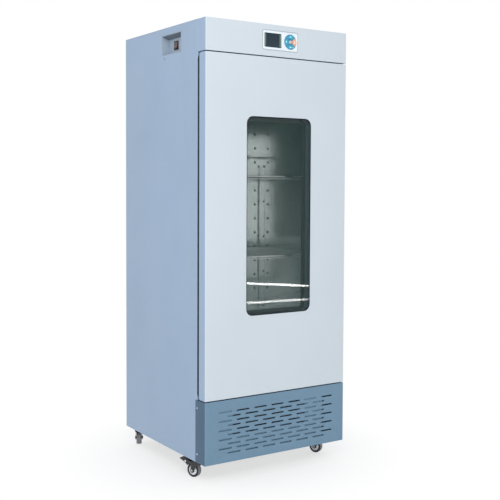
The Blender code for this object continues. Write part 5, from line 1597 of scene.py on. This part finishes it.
@dataclass
class Chamber(Assembly):
    """The stainless chamber, its rear wall with holes, its probe and its wire shelves."""

    hole_x: float = 0.218
    hole_lowest: float = 0.3707
    hole_pitch: float = 0.0577
    holes: int = 19
    hole_radius: float = 0.003
    # The holes' rims and the discs just in front of the holes are dark rubber as painted shade of the open
    # holes.
    dark_rim_gap: float = 0.0005
    dark_rim_wire: float = 0.0012
    shade_disc_width: float = 0.007
    shade_disc_sheet: float = 0.0004
    shade_disc_rise: float = 0.0003
    fixing_width: float = 0.009
    fixing_head: float = 0.0018
    fixing_heights: tuple[float, ...] = (1.104, 0.960, 0.816, 0.672, 0.528, 0.384)
    fixing_depth: float = 0.160
    rack_sheet: float = 0.0016
    wire: float = 0.0024
    wire_rise: float = 0.0032
    wires: int = 24
    rim: float = 0.003
    bar: float = 0.0025
    bar_drop: float = 0.0005
    truss_inset: float = 0.030
    corner: float = 0.012
    probe_rod: float = 0.0025
    probe_ring: float = 0.0065
    probe_wire: float = 0.002

    def dress(self) -> None:
        """Dress the chamber's pieces."""
        self.dresser.coat(Palette.STAINLESS, "inner_liner", "duct_panel")
        self.dresser.coat(Palette.FOAM, "insulation")
        self.dresser.soften(Palette.STAINLESS, "cabinet", "stainless_steel", "shelf_rack_left",
                            "shelf_rack_right", edge=0.0003)
        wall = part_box("duct_panel")[0].y
        rings = [((side * self.hole_x, wall, self.hole_lowest + n * self.hole_pitch), Facing.FRONT.value)
                 for n in range(self.holes) for side in (-1, 1)]
        # Painted shade: a dark ring round each duct hole.
        kind = Repeater(Shape.RING, 2 * (self.hole_radius + self.dark_rim_gap), 0.0, self.dark_rim_wire)
        self.dresser.repeat("duct_hole_rims_painted_shade", kind, rings, Palette.RUBBER, "cabinet", "rubber")
        # Painted shade: a dark disc just in front of each duct hole.
        shade_discs = [((x, wall - self.shade_disc_rise, z), facing) for (x, _, z), facing in rings]
        kind = Repeater(Shape.ROD, self.shade_disc_width, self.shade_disc_sheet, 0.0)
        self.dresser.repeat("duct_hole_discs_painted_shade", kind, shade_discs, Palette.RUBBER, "cabinet", "rubber")
        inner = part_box("shelf_rack_right")[1].x - self.rack_sheet
        fixings = [((side * inner, self.fixing_depth, z), facing.value) for z in self.fixing_heights
                   for side, facing in ((-1, Facing.RIGHT), (1, Facing.LEFT))]
        kind = Repeater(Shape.SCREW, self.fixing_width, 0.0, self.fixing_head)
        self.dresser.repeat("wall_fixings", kind, fixings, Palette.BLACK_STEEL, "cabinet", "stainless_steel")
        for level in ("top", "middle", "bottom"):
            self.shelf(f"shelf_{level}", f"{level}_shelf")
        self.probe()

    def shelf(self, node: str, body: str) -> None:
        """A wire shelf: a round rim, wires from front to back, bars across and a truss at the front.

        Args:
            node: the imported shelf.
            body: the body that it rides on.
        """
        low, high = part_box(node)
        r = self.rim
        level = high.z - self.wire_rise
        under = level - self.bar_drop
        x0, x1, y0, y1 = low.x + r, high.x - r, low.y + r, high.y - r
        rim = tube("rim", [(x, y, level) for x, y in rounded(x0, y0, x1, y1, self.corner, 5)], r, True)
        bars = [tube("bar", [(x0, y, under), (x1, y, under)], self.bar)
                for y in (y0 + (y1 - y0) * n / 3 for n in (1, 2))]
        side, drop = x1 - self.truss_inset, low.z + self.bar
        path = [(-side, y0, level), (-side, y0, drop), (side, y0, drop), (side, y0, level)]
        frame = joined(f"{node}_frame", [rim, *bars, tube("truss", path, self.bar)])
        self.dresser.place(frame, Palette.CHROME, body, "chromed_wire", node)
        spots = [x0 + (x1 - x0) * (n + 1) / (self.wires + 1) for n in range(self.wires)]
        places = [((x, (y0 + y1) / 2, high.z - self.wire / 2), Facing.FRONT.value) for x in spots]
        kind = Repeater(Shape.ROD, self.wire, y1 - y0, 0.0)
        self.dresser.repeat(f"{node}_wires", kind, places, Palette.CHROME, body, "chromed_wire")

    def probe(self) -> None:
        """The temperature probe: a collar on the wall, a rod and a ring at its tip."""
        low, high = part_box("sensor_probe")
        y, z = (low.y + high.y) / 2, (low.z + high.z) / 2
        centre = low.x + self.probe_ring + self.probe_wire
        tip = high.x - centre - self.probe_ring - self.probe_wire + 0.0005
        r = self.probe_rod
        profile = [(0, 0.0), (0.006, 0.0), (0.006, 0.003), (0.0052, 0.004), (0.0030, 0.0042),
                   (0.0030, 0.012), (r, 0.0125), (r, tip), (0, tip)]
        turn = Matrix.Translation((high.x, y, z)) @ Matrix.Rotation(-math.pi / 2, 4, "Y")
        rod = lathe("rod", profile, turn, 32)
        path = [(centre + a, y, z + b) for a, b in arc(0, 0, self.probe_ring, 0, 4, 32)[:-1]]
        ring = tube("ring", path, self.probe_wire, True)
        self.dresser.place(joined("sensor_probe_dressed", [rod, ring]), Palette.CHROME, "cabinet",
                           "stainless_steel", "sensor_probe")


@dataclass
class PowerSwitch(Assembly):
    """The rocker switch in its recess in the left side."""

    mark: float = 0.0035
    mark_width: float = 0.0008
    mark_line: float = 0.0007
    mark_height: float = 0.0003
    mark_place: float = 0.0058
    face_drop: float = 0.00195
    face_lean: float = math.atan2(0.0021, 0.0115)
    tilt: float = math.radians(8)

    def dress(self) -> None:
        """Dress the recess, the switch's frame and the rocker."""
        self.dresser.coat(Palette.RECESS, "switch_pocket")
        self.dresser.soften(Palette.BLACK, "cabinet", "black_plastic", "switch_frame", edge=0.0006)
        self.dresser.soften(Palette.RED, "rocker", "red_plastic", "power_rocker", edge=0.0007)
        self.marks()

    def marks(self) -> None:
        """A bar for on and a ring for off, each flat on its half of the rocker."""
        pivot = self.dresser.joints["power_rocker_tilt"]["pos_m"]
        tilt = Matrix.Translation(pivot) @ Matrix.Rotation(self.tilt, 4, "Y")
        left = Matrix(((0, 0, -1, 0), (-1, 0, 0, 0), (0, 1, 0, 0), (0, 0, 0, 1)))
        across, along = self.mark_width / 2, self.mark / 2
        bar = [rounded(-across, -along, across, along, 0.0002, 2)]
        ring = [arc(0, 0, along, 0, 4, 24)[:-1], arc(0, 0, along - self.mark_line, 0, 4, 24)[:-1][::-1]]
        for name, side, loops in (("on_mark", 1, bar), ("off_mark", -1, ring)):
            place = tilt @ Matrix.Translation((-self.face_drop, 0, side * self.mark_place))
            place = place @ Matrix.Rotation(side * -self.face_lean, 4, "Y") @ left
            made = plate(name, loops, place, 0.0, self.mark_height, 0.00008, 1)
            self.dresser.place(made, Palette.MARK, "rocker", "white_plastic")


@dataclass
class Caster(Assembly):
    """One swivel caster: its plate, fork, wheel and, at the front, its brake pedal."""

    where: str
    braked: bool
    wheel_radius: float = 0.025
    wheel_width: float = 0.020
    hub_radius: float = 0.0165
    bore: float = 0.0044
    fork_gap: float = 0.0012
    fork_sheet: float = 0.002
    plate_sheet: float = 0.003
    bolt_inset: float = 0.009
    bolt_width: float = 0.009
    bolt_head: float = 0.0026
    cap_radius: float = 0.0054
    cap_height: float = 0.0022
    cap_stand: float = 0.0003

    def dress(self) -> None:
        """Dress the caster's pieces."""
        plate_node = f"caster_plate_{self.where}"
        self.dresser.soften(Palette.BLACK_STEEL, "cabinet", "black_steel", plate_node, edge=0.0005)
        self.dresser.soften(Palette.BLACK_STEEL, f"fork_{self.where}", "black_steel",
                            f"caster_fork_{self.where}", edge=0.0004)
        if self.braked:
            self.dresser.soften(Palette.BLACK_STEEL, f"pedal_{self.where}", "black_steel",
                                f"brake_pedal_{self.where}", edge=0.0005)
            self.rivets()
        low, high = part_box(plate_node)
        i = self.bolt_inset
        bolts = [((x, y, high.z - self.plate_sheet), Facing.DOWN.value)
                 for x in (low.x + i, high.x - i) for y in (low.y + i, high.y - i)]
        kind = Repeater(Shape.SCREW, self.bolt_width, 0.0, self.bolt_head)
        self.dresser.repeat(f"caster_bolts_{self.where}", kind, bolts, Palette.ZINC, "cabinet",
                            "galvanised_steel")
        self.wheel()

    def wheel(self) -> None:
        """The tyre, the pale hub disc with its web, and the axle's caps."""
        place = self.dresser.axle(f"roll_{self.where}")
        r, w, h = self.wheel_radius, self.wheel_width / 2, self.hub_radius
        body = f"wheel_{self.where}"
        core = [(h, w - 0.0022), (h + 0.0008, w - 0.0004), (h + 0.0020, w), (r - 0.0034, w),
                (r - 0.0018, w - 0.0006), (r - 0.0012, w - 0.0016)]
        made = lathe(f"tyre_core_{self.where}", [(a, -b) for a, b in core] + core[::-1], place, 64, 50.0)
        self.dresser.place(made, Palette.TYRE, body, "tyre", f"caster_wheel_{self.where}")
        tread = [(r - 0.0012, w - 0.0018), (r - 0.0003, w - 0.0024), (r, w - 0.0040)]
        made = lathe(f"tyre_tread_{self.where}", [(a, -b) for a, b in tread] + tread[::-1], place, 64, 50.0)
        self.dresser.place(made, Palette.TREAD, body, "tyre")
        side = [(self.bore, w - 0.0002), (0.0078, w - 0.0002), (0.0086, w - 0.0012), (0.0100, w - 0.0040),
                (h - 0.0022, w - 0.0040), (h - 0.0012, w - 0.0016), (h - 0.0001, w - 0.0014)]
        hub = lathe(f"hub_{self.where}", [(a, -b) for a, b in side] + side[::-1], place, 48, 40.0)
        self.dresser.place(hub, Palette.HUB, body, "white_plastic")
        end = w + self.fork_gap + self.fork_sheet + self.cap_stand + self.cap_height
        c, t = self.cap_radius, self.cap_height
        cap = [(0, end - t), (c, end - t), (c, end - t / 2), (c - 0.0014, end), (0, end)]
        made = both_ends(f"axle_caps_{self.where}", cap, place, 6, 20.0)
        self.dresser.place(made, Palette.HUB, f"fork_{self.where}", "white_plastic")

    def rivets(self) -> None:
        """A domed head on each end of the brake pedal's pin."""
        f = self.wheel_width / 2 + self.fork_gap + self.fork_sheet
        head = [(0, f), (0.0034, f), (0.0034, f + 0.0003), (0.0026, f + 0.0009), (0.0012, f + 0.0012),
                (0, f + 0.0012)]
        place = self.dresser.axle(f"pedal_press_{self.where}")
        made = both_ends(f"pin_heads_{self.where}", head, place, 20, 50.0)
        self.dresser.place(made, Palette.HUB, f"fork_{self.where}", "white_plastic")


@dataclass
class Fan(Assembly):
    """A bladed rotor that turns about the front-to-back direction."""

    node: str
    body: str
    blades: int
    hub_share: float
    reach_share: float = 0.985
    sheet: float = 0.0014
    twist: tuple[float, float] = (math.radians(42), math.radians(22))

    def dress(self) -> None:
        """Build the rotor in its solid's space."""
        low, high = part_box(self.node)
        x, z = (low.x + high.x) / 2, (low.z + high.z) / 2
        radius, depth = (high.x - low.x) / 2 * self.reach_share, high.y - low.y
        hub = radius * self.hub_share
        place = front_at(high.y) @ Matrix.Translation((x, z, 0))
        profile = [(0, 0.0), (hub, 0.0), (hub, depth * 0.78), (hub * 0.92, depth * 0.90),
                   (hub * 0.7, depth * 0.96), (0, depth)]
        pieces = [lathe("hub", profile, place, 32, 50.0)]
        for n in range(self.blades):
            turned = place @ Matrix.Rotation(math.tau * n / self.blades, 4, "Z")
            pieces.append(self.blade(turned, hub, radius, depth))
        self.dresser.place(joined(f"{self.node}_dressed", pieces), Palette.GREY, self.body, "grey_plastic",
                           self.node)

    def blade(self, place: Matrix, hub: float, radius: float, depth: float) -> bpy.types.Object:
        """One twisted and cambered blade with round corners.

        Args:
            place: a frame with z along the axis and x along the blade.
            hub: the hub's radius.
            radius: the blade's reach.
            depth: the rotor's depth.

        Returns:
            The mesh object.
        """
        work = bmesh.new()
        rows, cols = 6, 8
        sheets = []
        for side in (1, -1):
            sheet = []
            for i in range(rows):
                u = i / (rows - 1)
                reach = hub * 0.85 + (radius - hub * 0.85) * u
                pitch = self.twist[0] + (self.twist[1] - self.twist[0]) * u
                chord = depth * (0.95 + 0.75 * math.sin(math.pi * (0.15 + 0.6 * u)))
                chord = min(chord, depth * 0.9 / math.sin(pitch))
                row = []
                for j in range(cols):
                    v = j / (cols - 1) - 0.5
                    camber = (0.25 - v * v) * chord * 0.22
                    along, lift = v * chord, camber + side * self.sheet / 2 * (1 - 1.6 * abs(v) ** 3)
                    t = (along * math.cos(pitch) - lift * math.sin(pitch)) / reach
                    rise = depth / 2 + (along * math.sin(pitch) + lift * math.cos(pitch)) * 0.85
                    point = (reach * math.cos(t), reach * math.sin(t), rise)
                    row.append(work.verts.new(place @ Vector(point)))
                sheet.append(row)
            sheets.append(sheet)
        top, under = sheets
        for i in range(rows - 1):
            for j in range(cols - 1):
                work.faces.new((top[i][j], top[i][j + 1], top[i + 1][j + 1], top[i + 1][j]))
                work.faces.new((under[i][j], under[i + 1][j], under[i + 1][j + 1], under[i][j + 1]))
        for i in range(rows - 1):
            for j in (0, cols - 1):
                work.faces.new((top[i][j], top[i + 1][j], under[i + 1][j], under[i][j]))
        for j in range(cols - 1):
            for i in (0, rows - 1):
                work.faces.new((top[i][j], under[i][j], under[i][j + 1], top[i][j + 1]))
        return from_bmesh("blade", work, 50.0)


@dataclass
class Machinery(Assembly):
    """What is behind the grille and behind the duct panel."""

    fins: int = 60
    fin: float = 0.0006
    passes: int = 5
    pipe_radius: float = 0.004
    bend: float = 0.014
    can_radius: float = 0.072
    foot_height: float = 0.014
    foot_inset: float = 0.010
    foot_sheet: float = 0.002
    pins: tuple[tuple[float, float], ...] = ((-0.006, -0.002), (0.006, -0.002), (0.0, 0.003))
    pin_depth: float = 0.0105
    pin_size: tuple[float, float, float] = (0.002, 0.015, 0.0055)

    def dress(self) -> None:
        """Dress the compressor, the condenser, the fans, the coils and the mains inlet."""
        self.dresser.soften(Palette.BLACK, "cabinet", "black_plastic", "cooling_fan_shroud", edge=0.0008)
        self.dresser.soften(Palette.GALVANISED, "cabinet", "galvanised_steel", "circulation_fan_motor",
                            edge=0.0006)
        self.dresser.coat(Palette.COPPER, "evaporator_coil")
        self.dresser.coat(Palette.STAINLESS, "heating_element")
        Fan(self.dresser, "circulation_fan_rotor", "circulation_fan", 5, 0.32).dress()
        Fan(self.dresser, "cooling_fan_rotor", "cooling_fan", 6, 0.31).dress()
        self.condenser()
        self.compressor()
        self.inlet()

    def condenser(self) -> None:
        """Thin fins on a level copper tube that turns back at each end."""
        low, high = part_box("condenser")
        y, z = (low.y + high.y) / 2, (low.z + high.z) / 2
        depth, rise = high.y - low.y, high.z - low.z
        x0, x1 = low.x + self.bend, high.x - self.bend
        places = [((x0 + (x1 - x0) * n / (self.fins - 1), y, z), (0.0, 0.0, 0.0)) for n in range(self.fins)]
        kind = Repeater(Shape.FIN, self.fin, depth, rise)
        self.dresser.repeat("condenser_fins", kind, places, Palette.FINS, "cabinet", "aluminium",
                            "condenser")
        pitch = rise / self.passes
        reach = self.bend - self.pipe_radius - 0.0005
        turns = [math.pi * k / 8 for k in range(1, 8)]
        points = []
        for n in range(self.passes):
            level, side = low.z + pitch * (n + 0.5), 1 if n % 2 == 0 else -1
            start, end = (x0, x1) if side == 1 else (x1, x0)
            points += [(start, y, level), (end, y, level)]
            if n < self.passes - 1:
                points += [(end + side * reach * math.sin(t), y, level + pitch / 2 * (1 - math.cos(t)))
                           for t in turns]
        self.dresser.place(tube("condenser_tube", points, self.pipe_radius), Palette.COPPER, "cabinet",
                           "copper")

    def compressor(self) -> None:
        """A welded can with its seam, on a foot plate and rubber feet."""
        low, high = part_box("compressor")
        x, y = (low.x + high.x) / 2, (low.y + high.y) / 2
        foot = low.z + self.foot_height
        r, h = self.can_radius, high.z - foot
        bowl = [(r * math.sin(t), h * 0.16 * (1 - math.cos(t)))
                for t in (math.pi / 12 * k for k in range(1, 7))]
        seam = [(r, h * 0.49), (r * 1.028, h * 0.495), (r * 1.03, h * 0.52), (r * 1.028, h * 0.545),
                (r, h * 0.55)]
        dome = [(r * math.cos(t), h * (0.74 + 0.26 * math.sin(t)))
                for t in (math.pi / 16 * k for k in range(8))]
        profile = [(0, 0.0), *bowl, *seam, *dome, (0, h)]
        can = lathe("compressor_can", profile, Matrix.Translation((x, y, foot)), 64, 40.0)
        self.dresser.place(can, Palette.CAN, "cabinet", "black_steel", "compressor")
        sheet, g = self.foot_sheet, self.foot_inset
        base = plate("compressor_foot", [rounded(low.x, low.y, high.x, high.y, 0.012)],
                     Matrix.Translation((0, 0, foot)), -sheet, sheet, 0.0006)
        self.dresser.place(base, Palette.BLACK_STEEL, "cabinet", "black_steel")
        profile = [(0, low.z), (0.0085, low.z), (0.009, low.z + 0.003), (0.0065, low.z + 0.007),
                   (0.009, low.z + 0.011), (0.009, foot - sheet), (0, foot - sheet)]
        feet = [lathe("foot", profile, Matrix.Translation((a, b, 0)), 20)
                for a in (low.x + g, high.x - g) for b in (low.y + g, high.y - g)]
        self.dresser.place(joined("compressor_feet", feet), Palette.RUBBER, "cabinet", "rubber")

    def inlet(self) -> None:
        """The mains socket's shell and its three pins."""
        self.dresser.soften(Palette.BLACK, "cabinet", "black_plastic", "power_inlet", edge=0.0005)
        low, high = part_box("power_inlet")
        x, z = (low.x + high.x) / 2, (low.z + high.z) / 2
        places = [((x + a, high.y - self.pin_depth, z + b), (0.0, 0.0, 0.0)) for a, b in self.pins]
        kind = Repeater(Shape.FIN, *self.pin_size)
        self.dresser.repeat("inlet_pins", kind, places, Palette.ZINC, "cabinet", "galvanised_steel")


# The studio

@dataclass
class Studio:
    """The pale floor, the light and the camera at the photograph's angle."""

    eye: Point = (-1.8189, -2.9491, 1.0377)
    forward: Point = (0.55781, 0.82875, -0.044885)
    upward: Point = (0.020666, 0.040196, 0.998978)
    lens: float = 65.069
    sensor: float = 36.0
    picture: float = 500.0
    axis_pixel: tuple[float, float] = (268.593, 223.272)
    ambient: Colour = (0.96, 0.985, 1.0)
    fill: float = 0.80
    key_power: float = 32.0
    key_place: Point = (-1.7, -2.7, 2.5)
    key_aim: Point = (0.0, 0.0, 0.8)
    key_size: float = 1.2
    box_place: Point = (-2.35, -3.75, 1.15)
    box_aim: Point = (0.1, 0.0, 1.0)
    box_size: tuple[float, float] = (1.8, 1.4)
    box_radiance: float = 1.68
    glow_place: Point = (0.0, 0.12, 0.42)
    glow_size: tuple[float, float] = (0.36, 0.08)
    glow_power: float = 1.8
    floor_reach: float = 14.0
    bars_y: float = -3.2
    bars: tuple[tuple[float, float, float, float, float, float], ...] = (
        (246.9, 283.3, 308.4, 285.8, 1.9, 43.0),
        (246.1, 303.4, 308.4, 299.1, 1.9, 28.0),
    )

    def build(self) -> None:
        """Make the camera, the lamps, the world and the floor."""
        self.camera()
        self.world()
        self.key()
        self.softbox()
        self.low_glow()
        self.reflected_bars()
        self.floor()
        bpy.context.scene.view_settings.view_transform = "Standard"

    def basis(self) -> tuple[Vector, Vector, Vector]:
        """The camera's right, up and forward directions.

        Returns:
            The three directions.
        """
        forward = Vector(self.forward).normalized()
        right = forward.cross(Vector(self.upward)).normalized()
        return right, right.cross(forward), forward

    def camera(self) -> None:
        """The camera."""
        data = bpy.data.cameras.new("camera")
        data.lens = self.lens
        data.sensor_width = self.sensor
        data.shift_x = 0.5 - self.axis_pixel[0] / self.picture
        data.shift_y = self.axis_pixel[1] / self.picture - 0.5
        data.clip_start = 0.05
        made = linked("camera", data)
        right, above, forward = self.basis()
        turn = Matrix((right, above, -forward)).transposed().to_4x4()
        made.matrix_world = Matrix.Translation(self.eye) @ turn
        bpy.context.scene.camera = made

    def world(self) -> None:
        """Even light on the object, and white for what the camera, gloss and glass see."""
        world = bpy.data.worlds.new("studio")
        world.use_nodes = True
        bpy.context.scene.world = world
        work = Tree(world.node_tree)
        lit = world.node_tree.nodes["Background"]
        work.feed(lit, "Color", (*self.ambient, 1.0))
        work.feed(lit, "Strength", self.fill)
        seen = work.add("ShaderNodeBackground", None, Color=(1.0, 1.0, 1.0, 1.0), Strength=1.0)
        work.finish(work.looked_at(), lit, seen, "World Output")

    def lamp(self, name: str, place: Matrix, size: tuple[float, float], power: float) -> bpy.types.Object:
        """An area lamp that shines along its place's -Z, and that the camera doesn't see.

        Args:
            name: the lamp's name.
            place: its frame.
            size: its width and height.
            power: its power in watts.

        Returns:
            The lamp.
        """
        data = bpy.data.lights.new(name, "AREA")
        data.shape = "RECTANGLE"
        data.size, data.size_y = size
        data.energy = power
        made = linked(name, data)
        made.matrix_world = place
        made.visible_camera = False
        return made

    def aimed(self, place: Point, aim: Point) -> Matrix:
        """A frame at a place, whose -Z looks at the aim."""
        turn = (Vector(aim) - Vector(place)).to_track_quat("-Z", "Y")
        return Matrix.Translation(place) @ turn.to_matrix().to_4x4()

    def key(self) -> None:
        """The large soft lamp in front, a little to the left."""
        place = self.aimed(self.key_place, self.key_aim)
        self.lamp("key", place, (self.key_size, self.key_size), self.key_power).visible_glossy = False

    def softbox(self) -> None:
        """A large dim softbox behind the camera, which the steel in the chamber throws back."""
        power = self.box_radiance * math.pi * self.box_size[0] * self.box_size[1]
        self.lamp("softbox", self.aimed(self.box_place, self.box_aim), self.box_size, power)

    def low_glow(self) -> None:
        """A small lamp under the bottom shelf, which lights the lower part of the door's liner."""
        ahead = Vector(self.glow_place) - Vector((0, 1, 0))
        place = self.aimed(self.glow_place, ahead)
        self.lamp("low_glow", place, self.glow_size, self.glow_power).visible_glossy = False

    def reflected_bars(self) -> None:
        """Two strip lamps whose mirror images lie across the lower part of the window."""
        right, above, forward = self.basis()
        focus = self.lens / self.sensor * self.picture
        u_axis, v_axis = self.axis_pixel
        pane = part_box("outer_glass")[0].y
        eye = Vector(self.eye)
        mirrored = Vector((eye.x, 2 * pane - eye.y, eye.z))
        for number, (u0, v0, u1, v1, thick, radiance) in enumerate(self.bars):
            ends = []
            for u, v in ((u0, v0), (u1, v1)):
                ray = forward + right * ((u - u_axis) / focus) - above * ((v - v_axis) / focus)
                on_pane = eye + ray * ((pane - eye.y) / ray.y)
                way = on_pane - mirrored
                ends.append(mirrored + way * ((self.bars_y - mirrored.y) / way.y))
            along = ends[1] - ends[0]
            across = along.normalized()
            facing = Vector((0, -1, 0))
            turn = Matrix((across, across.cross(facing).normalized() * -1, facing)).transposed()
            middle = (ends[0] + ends[1]) / 2
            distance = (middle - mirrored).length
            height = thick / focus * distance
            if turn.determinant() < 0:
                turn.col[1] = -turn.col[1]
            place = Matrix.Translation(middle) @ turn.to_4x4()
            width = along.length
            power = radiance * math.pi * width * height
            self.lamp(f"window_strip_{number}", place, (width, height), power).visible_diffuse = False

    def floor(self) -> None:
        """A plain pale floor that keeps the shadow, and is white to the camera farther out."""
        mesh = bpy.data.meshes.new("floor")
        r = self.floor_reach
        mesh.from_pydata([(-r, -r, 0), (r, -r, 0), (r, r, 0), (-r, r, 0)], [], [(0, 1, 2, 3)])
        made = linked("floor", mesh)
        work = Recipe("pale_floor", Roughness=0.9, Specular_IOR_Level=0.1)
        speck = work.use(work.shared.drift, Colour=(0.97, 0.97, 0.97), Amount=0.004, Scale=3.0)
        work.feed(work.shader, "Base Color", speck.outputs[0])
        length = work.add("ShaderNodeVectorMath", {"operation": "LENGTH"})
        work.feed(length, "#0", work.place)
        far = work.ramp(length.outputs["Value"], 0.30, 0.66, 0.6, 1.0)
        glow = work.add("ShaderNodeEmission", None, Color=(1.0, 1.0, 1.0, 1.0), Strength=1.0)
        work.finish(work.maths("MULTIPLY", far, work.looked_at()), work.shader, glow, "Material Output")
        made.data.materials.append(work.material)


def main() -> None:
    """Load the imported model, dress each sub-assembly, and light it."""
    logging.basicConfig(level=logging.INFO, format="%(name)s: %(message)s")
    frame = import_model()
    Recipe.shared = Effects()
    dresser = Dresser(Palette(), frame)
    kinds = (Casing, GrilleCover, ControlPanel, Door, Chamber, PowerSwitch, Machinery)
    assemblies = [kind(dresser) for kind in kinds]
    assemblies += [Caster(dresser, f"{end}_{side}", end == "front")
                   for end in ("front", "rear") for side in ("left", "right")]
    for assembly in assemblies:
        assembly.dress()
    Studio().build()


if __name__ == "__main__":
    main()
